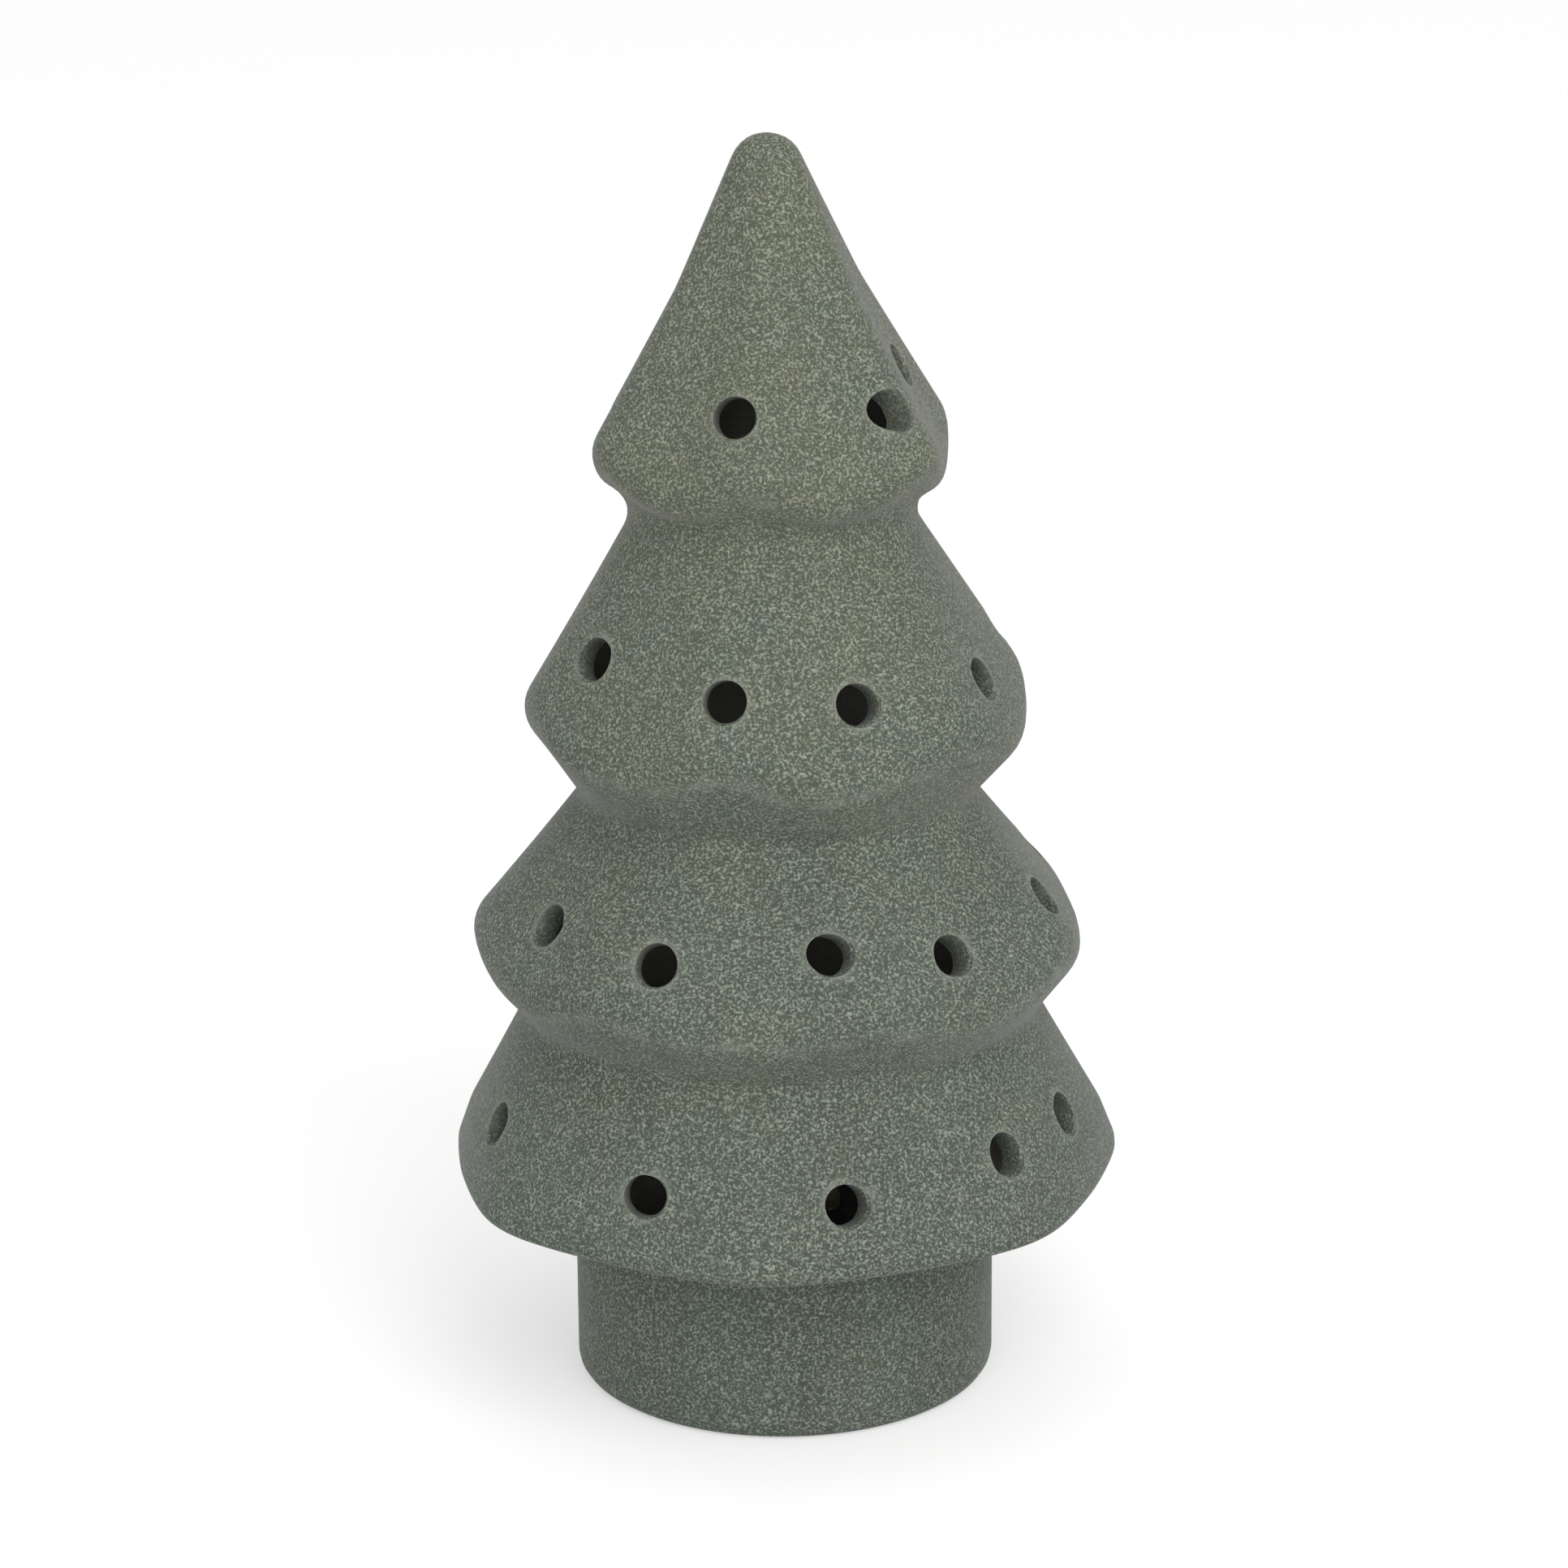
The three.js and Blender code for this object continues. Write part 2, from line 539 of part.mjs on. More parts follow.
function gripRing() {
  const inner = HOUSING_RADIUS + GAP;
  const outer = inner + GRIP_THICKNESS;
  const bottom = PLATE_TOP + GAP;
  const top = FLOOR_TOP + GRIP_PROUD;
  const bands = 2 * GRIP_RIBS - 1;
  const outline = [[inner, bottom]];
  for (let k = 0; k < bands; k += 1) {
    const radius = k % 2 ? outer - GRIP_RIB_DEPTH : outer;
    for (const edge of [k, k + 1]) outline.push([radius, bottom + (edge / bands) * (top - bottom)]);
  }
  outline.push([inner, top], [inner, bottom]);
  return turned(outline);
}

function circuitBoard() {
  return cylinder(BOARD_RADIUS, BOARD_BOTTOM, BOARD_BOTTOM + BOARD_THICKNESS);
}

function light([x, y]) {
  const flangeTop = LIGHT_BOTTOM + LIGHT_FLANGE_HEIGHT;
  const shoulder = LIGHT_BOTTOM + LIGHT_HEIGHT - LIGHT_RADIUS;
  const outline = [
    [0, LIGHT_BOTTOM], [LIGHT_FLANGE_RADIUS, LIGHT_BOTTOM], [LIGHT_FLANGE_RADIUS, flangeTop], [LIGHT_RADIUS, flangeTop],
  ];
  for (let k = 0; k < DOME_STEPS; k += 1) {
    const angle = degrees((90 * k) / DOME_STEPS);
    outline.push([LIGHT_RADIUS * Math.cos(angle), shoulder + LIGHT_RADIUS * Math.sin(angle)]);
  }
  outline.push([0, LIGHT_BOTTOM + LIGHT_HEIGHT]);
  return turned(outline, SMALL_SIDES, x, y);
}

// A button cell on its side, its narrow cap towards the spring
function cell(index) {
  const left = -BAY_HALF + SPRING_END + GAP + index * (CELL_THICKNESS + GAP);
  const points = [
    [0, 0], [CELL_CAP_DIAMETER / 2, 0], [CELL_CAP_DIAMETER / 2, CELL_CAP_HEIGHT],
    [CELL_RADIUS, CELL_CAP_HEIGHT], [CELL_RADIUS, CELL_THICKNESS], [0, CELL_THICKNESS],
  ].map(([radius, height]) => new THREE.Vector2(radius, height));
  const geometry = new THREE.LatheGeometry(points, ROUND_SIDES).rotateZ(-Math.PI / 2);
  return solidOf(geometry.translate(left, BAY_CENTRE_Y, CELL_AXIS));
}

// A stamped contact plate with a tail up through the bay's roof to the board
function contact(x) {
  const across = [x, x + CONTACT_THICKNESS];
  return join(
    block(across, span(BAY_CENTRE_Y, CONTACT_WIDTH / 2), span(CELL_AXIS, CONTACT_WIDTH / 2)),
    block(across, span(BAY_CENTRE_Y, TAIL_WIDTH / 2), [CELL_AXIS, BOARD_BOTTOM - GAP]),
  );
}

class SpringCurve extends THREE.Curve {
  getPoint(share, target = new THREE.Vector3()) {
    const turn = 2 * Math.PI * SPRING_TURNS * share;
    const start = -BAY_HALF + SPRING_END - SPRING_LENGTH + SPRING_WIRE;
    return target.set(
      start + share * (SPRING_LENGTH - 2 * SPRING_WIRE),
      BAY_CENTRE_Y + SPRING_RADIUS * Math.cos(turn),
      CELL_AXIS + SPRING_RADIUS * Math.sin(turn),
    );
  }
}

function contactSpring() {
  return tube(new SpringCurve(), SPRING_WIRE, STEPS_PER_TURN * SPRING_TURNS);
}

function switchBody() {
  return block(span(0, SWITCH_LENGTH / 2), span(SWITCH_Y, SWITCH_WIDTH / 2), [SWITCH_BOTTOM, SWITCH_TOP]);
}

// The knob stands at the end of its travel that turns the lights off
function switchKnob() {
  const left = -(KNOB_LENGTH + KNOB_TRAVEL) / 2;
  const bottom = PLATE_BOTTOM - KNOB_PROUD;
  const body = block([left, left + KNOB_LENGTH], span(SWITCH_Y, KNOB_WIDTH / 2), [bottom, PLATE_TOP]);
  const grooves = Array.from({ length: KNOB_GROOVES }, (_, i) =>
    block(
      span(left + ((i + 1) * KNOB_LENGTH) / (KNOB_GROOVES + 1), KNOB_GROOVE_WIDTH / 2),
      span(SWITCH_Y, KNOB_WIDTH),
      [bottom - PAST, bottom + KNOB_GROOVE_WIDTH / 2],
    ),
  );
  return cut(body, ...grooves);
}

function switchWire(side) {
  const x = (side * WIRE_SPACING) / 2;
  const low = SWITCH_TOP + GAP;
  const high = BOARD_BOTTOM - GAP;
  const boardY = -(BOARD_RADIUS - 3 * WIRE_RADIUS);
  const straight = (high - low) / 3;
  const curve = new THREE.CatmullRomCurve3([
    new THREE.Vector3(x, SWITCH_Y, low),
    new THREE.Vector3(x, SWITCH_Y, low + straight),
    new THREE.Vector3(x, boardY, high - straight),
    new THREE.Vector3(x, boardY, high),
  ]);
  return tube(curve, WIRE_RADIUS, TUBE_STEPS);
}

function batteryDoor() {
  const bore = (radius, top) =>
    cylinder(radius, PLATE_BOTTOM - PAST, top, DOOR_SCREW_X, BAY_CENTRE_Y, SMALL_SIDES);
  return cut(
    doorForm(0, 0),
    bore(SCREW_HEAD_RADIUS + GAP, PLATE_BOTTOM + SCREW_HEAD_HEIGHT),
    bore(SCREW_BORE, PLATE_TOP),
  );
}

function doorScrew() {
  return screw(DOOR_SCREW_X, BAY_CENTRE_Y, PLATE_BOTTOM, DOOR_SCREW_LENGTH, 1);
}

function coverScrew([x, y]) {
  return screw(x, y, COVER_TOP + GAP + SCREW_HEAD_HEIGHT, COVER_SCREW_LENGTH, -1);
}

// The pieces, named and finished
function finish(color, roughness, metalness = 0) {
  return new THREE.MeshStandardMaterial({ color, roughness, metalness });
}
const MATT_GLAZE = finish("#67705f", 0.85);
const BLACK_PLASTIC = finish("#1d1e1f", 0.6);
const GREY_PLASTIC = finish("#4b4d50", 0.5);
const SILICONE = finish("#d9dcd8", 0.7);
const BOARD_GREEN = finish("#2f6b45", 0.55);
const WARM_LENS = finish("#f3e3b0", 0.2);
const CELL_STEEL = finish("#c4c6c8", 0.3, 1);
const CONTACT_STEEL = finish("#cfc9b8", 0.35, 1);
const SCREW_STEEL = finish("#b9bbbd", 0.35, 1);
const RED_WIRE = finish("#a62420", 0.5);
const BLACK_WIRE = finish("#1c1c1e", 0.5);

function piece(name, solid, material) {
  const mesh = new THREE.Mesh(geometryOf(solid), material);
  mesh.name = name;
  return mesh;
}

const lightUnit = new THREE.Group();
lightUnit.add(
  piece("light_housing", lightHousing(), BLACK_PLASTIC),
  piece("light_cover", lightCover(), BLACK_PLASTIC),
  piece("grip_ring", gripRing(), SILICONE),
  piece("circuit_board", circuitBoard(), BOARD_GREEN),
  piece("contact_plus", contact(PLUS_X), CONTACT_STEEL),
  piece("contact_minus", contact(MINUS_X), CONTACT_STEEL),
  piece("contact_spring", contactSpring(), CONTACT_STEEL),
  piece("switch_body", switchBody(), GREY_PLASTIC),
  piece("switch_knob", switchKnob(), GREY_PLASTIC),
  piece("switch_wire_red", switchWire(-1), RED_WIRE),
  piece("switch_wire_black", switchWire(1), BLACK_WIRE),
  piece("battery_door", batteryDoor(), BLACK_PLASTIC),
  piece("door_screw", doorScrew(), SCREW_STEEL),
);
for (let i = 0; i < CELLS; i += 1) lightUnit.add(piece(`button_cell_${i + 1}`, cell(i), CELL_STEEL));
LIGHT_PLACES.forEach((place, i) => lightUnit.add(piece(`led_${i + 1}`, light(place), WARM_LENS)));
BOSSES.forEach((place, i) => lightUnit.add(piece(`cover_screw_${i + 1}`, coverScrew(place), SCREW_STEEL)));

const tree = new THREE.Group();
tree.add(piece("tree_shell", treeShell(), MATT_GLAZE), lightUnit);

export default tree;
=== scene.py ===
import math

import bmesh
import bpy
from mathutils import Matrix, Quaternion, Vector


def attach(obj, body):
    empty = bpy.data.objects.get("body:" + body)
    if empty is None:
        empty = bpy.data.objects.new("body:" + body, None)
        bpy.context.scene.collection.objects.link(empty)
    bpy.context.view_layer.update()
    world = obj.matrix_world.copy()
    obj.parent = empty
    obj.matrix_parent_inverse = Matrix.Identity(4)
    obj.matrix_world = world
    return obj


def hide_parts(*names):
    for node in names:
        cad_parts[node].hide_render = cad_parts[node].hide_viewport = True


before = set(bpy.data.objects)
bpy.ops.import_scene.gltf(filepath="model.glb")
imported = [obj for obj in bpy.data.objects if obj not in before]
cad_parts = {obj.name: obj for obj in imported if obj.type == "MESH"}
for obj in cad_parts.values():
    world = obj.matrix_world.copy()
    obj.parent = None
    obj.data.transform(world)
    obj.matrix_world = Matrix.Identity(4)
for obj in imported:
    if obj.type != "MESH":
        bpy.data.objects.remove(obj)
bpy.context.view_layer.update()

# The camera looks down on the tree from a little above it, from the front. Its aim lies just under the middle
# of the tree, and it is rolled by a hair, as the photograph was taken.
LOOKED_DOWN_BY = math.radians(18.02)
CAMERA_DISTANCE = 0.8
CAMERA_PIVOT = Vector((0, 0, 0.092))
CAMERA_AIM = Vector((0.00046, 0, 0.08846))
CAMERA_ROLL = math.radians(-0.45)
SENSOR_WIDTH = 36
LENS = 129.3
NEAREST_SEEN = 0.01
camera_data = bpy.data.cameras.new("camera")
camera_data.sensor_width = SENSOR_WIDTH
camera_data.lens = LENS
camera_data.clip_start = NEAREST_SEEN
camera = bpy.data.objects.new("camera", camera_data)
to_camera = Vector((0, -math.cos(LOOKED_DOWN_BY), math.sin(LOOKED_DOWN_BY)))
camera.location = CAMERA_PIVOT + CAMERA_DISTANCE * to_camera
looking = (CAMERA_AIM - camera.location).to_track_quat("-Z", "Y")
camera.rotation_mode = "QUATERNION"
camera.rotation_quaternion = looking @ Quaternion((0, 0, 1), CAMERA_ROLL)
bpy.context.scene.collection.objects.link(camera)
bpy.context.scene.camera = camera
bpy.context.scene.view_settings.view_transform = "Standard"


# The floor is a wide pale sheet of studio paper. It keeps the tree's soft shadow, and what the camera, a
# gloss or a glass sees of it beyond that is lifted to white, as a lit paper sweep is.
FLOOR_SIZE = 6
FLOOR_WHITE = (0.76, 0.76, 0.755, 1)
FLOOR_LIFT = 0.45
PAPER_ROUGHNESS = 0.9
PAPER_GLOSS = 0.1


def material_of(name):
    made = bpy.data.materials.new(name)
    made.use_nodes = True
    nodes = made.node_tree.nodes
    return made, nodes, made.node_tree.links, nodes["Principled BSDF"]


def seen_directly(nodes, links):
    """1 where a ray comes from the camera, a gloss or a glass, and 0 where light is gathered."""
    path = nodes.new("ShaderNodeLightPath")
    gloss = nodes.new("ShaderNodeMath")
    gloss.operation = "MAXIMUM"
    links.new(path.outputs["Is Camera Ray"], gloss.inputs[0])
    links.new(path.outputs["Is Glossy Ray"], gloss.inputs[1])
    either = nodes.new("ShaderNodeMath")
    either.operation = "MAXIMUM"
    links.new(gloss.outputs[0], either.inputs[0])
    links.new(path.outputs["Is Transmission Ray"], either.inputs[1])
    return either.outputs[0]


paper, nodes, links, surface = material_of("studio_paper")
surface.inputs["Base Color"].default_value = FLOOR_WHITE
surface.inputs["Roughness"].default_value = PAPER_ROUGHNESS
surface.inputs["Specular IOR Level"].default_value = PAPER_GLOSS
surface.inputs["Emission Color"].default_value = (1, 1, 1, 1)
lift = nodes.new("ShaderNodeMath")
lift.operation = "MULTIPLY"
lift.inputs[1].default_value = FLOOR_LIFT
links.new(seen_directly(nodes, links), lift.inputs[0])
links.new(lift.outputs[0], surface.inputs["Emission Strength"])
sheet = bmesh.new()
bmesh.ops.create_grid(sheet, x_segments=1, y_segments=1, size=FLOOR_SIZE / 2)
floor_mesh = bpy.data.meshes.new("floor")
sheet.to_mesh(floor_mesh)
sheet.free()
floor_mesh.materials.append(paper)
floor = bpy.data.objects.new("floor", floor_mesh)
bpy.context.scene.collection.objects.link(floor)


# The room is a white studio: even light from all round, a wide soft lamp above and to the right of the
# camera, and a weaker one from the left that keeps the shaded side open.
ROOM_LIGHT = 0.64
LAMPS = (
    ("key_lamp", Vector((0.42, -0.95, 0.9)), 1.0, 6.9),
    ("low_lamp", Vector((-0.25, -1.3, 0.3)), 0.7, 2.0),
)
world = bpy.data.worlds.new("studio")
world.use_nodes = True
nodes, links = world.node_tree.nodes, world.node_tree.links
background = nodes["Background"]
background.inputs["Color"].default_value = (1, 1, 1, 1)
strength = nodes.new("ShaderNodeMapRange")
strength.inputs["To Min"].default_value = ROOM_LIGHT
strength.inputs["To Max"].default_value = 1
links.new(seen_directly(nodes, links), strength.inputs["Value"])
links.new(strength.outputs["Result"], background.inputs["Strength"])
bpy.context.scene.world = world
for name, place, width, power in LAMPS:
    lamp_data = bpy.data.lights.new(name, "AREA")
    lamp_data.shape = "DISK"
    lamp_data.size = width
    lamp_data.energy = power
    lamp = bpy.data.objects.new(name, lamp_data)
    lamp.location = place
    lamp.rotation_mode = "QUATERNION"
    lamp.rotation_quaternion = (CAMERA_PIVOT - place).to_track_quat("-Z", "Y")
    bpy.context.scene.collection.objects.link(lamp)


# The tree is one piece of slip-cast stoneware: a round trunk that stands on its foot ring, and four tiers
# with soft boughs that lift at their tips. It is leather-hard when the holes are drilled, and their edges are
# wiped by hand.
TRUNK_HEIGHT = 0.027
TRUNK_RADIUS = 0.0303
WALL = 0.0038
FOOT_RECESS = 0.004
FLOOR_THICKNESS = 0.004
RECESS_RADIUS = 0.02444
OPENING_RADIUS = 0.02084
RING_JOINS_FOOT = TRUNK_RADIUS - 0.003
FOOT_ROUNDING = 0.0024
TRUNK_TOP_ROUNDING = 0.0016
FLOOR_ROUNDING = 0.0006
RECESS_ROUNDING = 0.0008
LEAST_ROUNDING = 0.001
LEAN = 0.0083

# From the ground up. A tier's tuck is how far its hem stands above the neck below, and its rise is how far
# its own neck stands above the hem. Hem and neck are (radius, rounding), and a bend is (above the hem, radius,
# rounding). Its boughs start at the azimuth first, and swell by depth and lift. Its holes stand at holes_at
# over the hem, each (azimuth in degrees, missed height, degrees that the drill was turned aside).
TIERS = (
    dict(
        tuck=0.0047, hem=(0.0481, 0.0014), bend=(0.0065, 0.0459, 0.009), rise=0.0246, neck=(0.0366, 0.003),
        boughs=7, first=-56, depth=0.018, lift=0, holes_at=0.011,
        holes=(
            (-69.5, 0.0004, 6), (-26, -0.0011, 15), (11.5, -0.0012, 11), (46, 0.0011, 1), (70, 0.001, -9),
            (107, -0.0002, 5), (143, -0.001, -6), (180, 0.0007, 8), (217, 0.0002, -4), (253, 0, 7),
        ),
    ),
    dict(
        tuck=0.0102, hem=(0.045, 0.006), bend=None, rise=0.0219, neck=(0.0278, 0.0025),
        boughs=7, first=-35, depth=0.009, lift=0.0013, holes_at=0.0081,
        holes=(
            (-58, 0.0007, 4), (-25.5, -0.0007, 14), (10.5, 0.001, 11), (38, -0.0004, 4), (74.5, -0.0001, 4),
            (112, -0.0004, -5), (148, 0.0005, 7), (184, -0.0005, 3), (220, -0.0007, -8), (254, 0.0005, 5),
        ),
    ),
    dict(
        tuck=0.0117, hem=(0.0368, 0.0062), bend=None, rise=0.0306, neck=(0.0186, 0.005),
        boughs=6, first=-74, depth=0.003, lift=0.0021, holes_at=0.01,
        holes=(
            (-58, 0.0022, 24), (-12.5, -0.0013, 4), (21.5, 0.0002, 2), (66.5, -0.0013, -6),
            (104, -0.0019, 6), (142, 0.0015, -4), (180, -0.0005, 5), (219, -0.0008, 9), (254, 0.001, -3),
        ),
    ),
    dict(
        tuck=0.0056, hem=(0.0269, 0.006), bend=(0.0247, 0.0132, 0.04), rise=0.0461, neck=(0.0034, 0.006),
        boughs=6, first=-66, depth=0.032, lift=0.0019, holes_at=0.0117,
        holes=(
            (-13.5, -0.0014, 2), (49, -0.0025, 19), (84, 0.0033, 0),
            (146, 0.0007, 6), (200, 0, -5), (252, 0.0005, 4),
        ),
    ),
)
HOLE_RADIUS = 0.003
HOLE_EDGE = 0.00035
DRILL_REACH = 0.009
DRILL_TILT = 0.6
DRILL_SIDES = 28
OVAL_BY_HAND = 0.03
BOUGH_SHARPNESS = 1.4
BOUGH_LEVEL = 0.42
AROUND = 150
OUTSIDE_STEP = 0.0011
INSIDE_STEP = 0.003
SHARED_SIDE, OWN_SIDE = 0.49, 0.98
SAME_PLACE = 1e-6
SHARP_FROM = 40

levels = []
for tier in TIERS:
    below = levels[-1][2] if levels else TRUNK_HEIGHT
    levels.append((below, below + tier["tuck"], below + tier["tuck"] + tier["rise"]))
TREE_HEIGHT = levels[-1][2]


def rounded(corners, step):
    """An outline whose corners, each (radius, height, rounding), are rounded, cut up evenly in steps."""
    points = []
    for i, (x, y, rounding) in enumerate(corners):
        here = Vector((x, y))
        if not rounding:
            points.append(here)
            continue
        back = Vector(corners[i - 1][:2]) - here
        on = Vector(corners[i + 1][:2]) - here
        room = min(
            side.length * (SHARED_SIDE if corners[k][2] else OWN_SIDE)
            for side, k in ((back, i - 1), (on, i + 1))
        )
        half = back.angle(on) / 2
        reach = min(rounding / math.tan(half), room)
        centre = here + (back.normalized() + on.normalized()).normalized() * reach / math.cos(half)
        start = here + back.normalized() * reach - centre
        end = here + on.normalized() * reach - centre
        turn = math.atan2(start.x * end.y - start.y * end.x, start.dot(end))
        steps = max(3, math.ceil(abs(turn) * start.length / step))
        for k in range(steps + 1):
            points.append(centre + Matrix.Rotation(turn * k / steps, 2) @ start)
    even = [points[0]]
    for point in points[1:]:
        run = point - even[-1]
        cuts = max(1, round(run.length / step))
        if run.length > SAME_PLACE:
            even += [even[-1] + run * k / cuts for k in range(1, cuts + 1)]
    return even


def outside_corners():
    """The corners of the outside, from the foot to the last neck under the tip."""
    corners = [(TRUNK_RADIUS, 0, FOOT_ROUNDING), (TRUNK_RADIUS, TRUNK_HEIGHT, TRUNK_TOP_ROUNDING)]
    for tier, (below, hem, above) in zip(TIERS, levels):
        corners.append((tier["hem"][0], hem, tier["hem"][1]))
        if tier["bend"]:
            corners.append((tier["bend"][1], hem + tier["bend"][0], tier["bend"][2]))
        corners.append((tier["neck"][0], above, tier["neck"][1]))
    return corners


def inside_corners(corners):
    """The same corners moved in by the wall, so that bulges are rounded tighter and hollows wider."""
    moved = []
    for i, (x, y, rounding) in enumerate(corners):
        here = Vector((x, y))
        before = Vector(corners[i - 1][:2]) if i else Vector((x, y - 1))
        after = Vector(corners[i + 1][:2]) if i + 1 < len(corners) else Vector((0, y))
        a, b = (here - before).normalized(), (after - here).normalized()
        inward = WALL / (1 + a.dot(b))
        bulges = a.x * b.y - a.y * b.x > 0
        fillet = max(rounding - WALL, LEAST_ROUNDING) if bulges else rounding + WALL
        moved.append((x - inward * (a.y + b.y), y + inward * (a.x + b.x), fillet))
    return moved


def boughs_at(azimuth, height):
    """How far the boughs swell the radius, as a factor, and lift the wall."""
    factor, lift = 1, 0
    for tier, (below, hem, above) in zip(TIERS, levels):
        share = max(0, min((height - below) / (hem - below), (above - height) / (above - hem)))
        wave = (1 + math.cos(tier["boughs"] * (azimuth - math.radians(tier["first"])))) / 2
        shape = 2 * (wave**BOUGH_SHARPNESS - BOUGH_LEVEL) * share
        factor += tier["depth"] * shape
        lift += tier["lift"] * shape
    return factor, lift


def lean_at(height):
    """How far to the left the tree stands over at a height."""
    return -LEAN * max(height - TRUNK_HEIGHT, 0)


def spun(outline, around, closed=False):
    """A smooth closed shape, turned round Z from an outline of (radius, height) points."""
    shape = bmesh.new()
    ring = [shape.verts.new((x, 0, z)) for x, z in outline]
    edges = [shape.edges.new(pair) for pair in zip(ring, ring[1:])]
    if closed:
        edges.append(shape.edges.new((ring[-1], ring[0])))
    bmesh.ops.spin(
        shape, geom=ring + edges, cent=(0, 0, 0), axis=(0, 0, 1),
        angle=2 * math.pi, steps=around, use_merge=True,
    )
    bmesh.ops.remove_doubles(shape, verts=shape.verts, dist=SAME_PLACE)
    bmesh.ops.recalc_face_normals(shape, faces=shape.faces)
    for face in shape.faces:
        face.smooth = True
    return shape


def object_of(name, shape, sharp=SHARP_FROM):
    """A bmesh as an object at the origin, its edges sharp where they turn by more degrees than sharp."""
    mesh = bpy.data.meshes.new(name)
    shape.to_mesh(mesh)
    shape.free()
    mesh.set_sharp_from_angle(angle=math.radians(sharp))
    made = bpy.data.objects.new(name, mesh)
    bpy.context.scene.collection.objects.link(made)
    return made


def combined(piece, tool, operation):
    """The piece with a shape cut away or joined on for good, and the shape's own object removed."""
    modifier = piece.modifiers.new("cut", "BOOLEAN")
    modifier.object = tool
    modifier.operation = operation
    modifier.solver = "EXACT"
    bpy.context.view_layer.update()
    cut = bpy.data.meshes.new_from_object(piece.evaluated_get(bpy.context.evaluated_depsgraph_get()))
    piece.modifiers.clear()
    spent = piece.data
    cut.name = spent.name
    piece.data = cut
    bpy.data.meshes.remove(spent)
    bpy.data.objects.remove(tool)
    cut.set_sharp_from_angle(angle=math.radians(SHARP_FROM))
    return piece


def cut_from(piece, cutter):
    return combined(piece, cutter, "DIFFERENCE")


def joined_to(piece, part):
    return combined(piece, part, "UNION")


def radius_at(outline, height):
    """The radius of an outline at a height, and 0 above its tip."""
    for low, high in zip(outline, outline[1:]):
        if low.y <= height < high.y:
            return low.x + (high.x - low.x) * (height - low.y) / (high.y - low.y)
    return outline[-1].x


def on_wall(outline, azimuth, height, turned):
    """The place of a hole on the wall at an azimuth and a height, and the way that its drill points out."""
    low, high = next((a, b) for a, b in zip(outline, outline[1:]) if a.y <= height < b.y)
    slope = (low.x - high.x) / (high.y - low.y)
    angle = math.radians(azimuth)
    factor, lift = boughs_at(angle, height)
    radius = (low.x - slope * (height - low.y)) * factor
    heading = angle + math.radians(turned)
    out = Vector((math.sin(heading), -math.cos(heading), DRILL_TILT * slope)).normalized()
    place = Vector((math.sin(angle) * radius + lean_at(height), -math.cos(angle) * radius, height + lift))
    return place, out


corners = outside_corners()
outside = rounded([(RECESS_RADIUS, 0, 0), *corners, (0, TREE_HEIGHT, 0)], OUTSIDE_STEP)
inner = inside_corners(corners)
floor_top = FOOT_RECESS + FLOOR_THICKNESS
inner[0] = (TRUNK_RADIUS - WALL, floor_top, LEAST_ROUNDING)
inside = rounded([(OPENING_RADIUS, floor_top, FLOOR_ROUNDING), *inner, (0, inner[-1][1], 0)], INSIDE_STEP)
underside = rounded(
    [(OPENING_RADIUS, floor_top, 0), (OPENING_RADIUS, FOOT_RECESS, FLOOR_ROUNDING),
     (RECESS_RADIUS, FOOT_RECESS, RECESS_ROUNDING), (RECESS_RADIUS, 0, RECESS_ROUNDING),
     (RING_JOINS_FOOT, 0, 0)],
    OUTSIDE_STEP,
)
past_the_ring = [point for point in outside if point.x > RING_JOINS_FOOT + 0.0001 or point.y > 0]
outline = list(reversed(inside[1:])) + underside + past_the_ring
tree = spun(outline, AROUND)
for vertex in tree.verts:
    x, y, z = vertex.co
    factor, lift = boughs_at(math.atan2(x, -y), z)
    vertex.co = (x * factor + lean_at(z), y * factor, z + lift)
tree_piece = object_of("ceramic_tree", tree)

drills = bmesh.new()
hole_places = []
for tier, (below, hem, above) in zip(TIERS, levels):
    for azimuth, missed, turned in tier["holes"]:
        place, out = on_wall(outside, azimuth, hem + tier["holes_at"] + missed, turned)
        hole_places.append((place, out))
        wide = HOLE_RADIUS + HOLE_EDGE
        edge = [
            (wide - HOLE_EDGE * math.sin(a), HOLE_EDGE * (math.cos(a) - 1))
            for a in (math.radians(d) for d in (0, 30, 60, 90))
        ]
        drill = spun(
            [(0, DRILL_REACH), (wide, DRILL_REACH), *edge, (HOLE_RADIUS, -DRILL_REACH), (0, -DRILL_REACH)],
            DRILL_SIDES,
        )
        by_hand = 1 + OVAL_BY_HAND * math.sin(5 * azimuth)
        drill.transform(Matrix.Diagonal((by_hand, 1 / by_hand, 1, 1)))
        drill.transform(Matrix.Translation(place) @ out.to_track_quat("Z", "Y").to_matrix().to_4x4())
        mesh = bpy.data.meshes.new("drill")
        drill.to_mesh(mesh)
        drill.free()
        drills.from_mesh(mesh)
        bpy.data.meshes.remove(mesh)
cut_from(tree_piece, object_of("drills", drills))


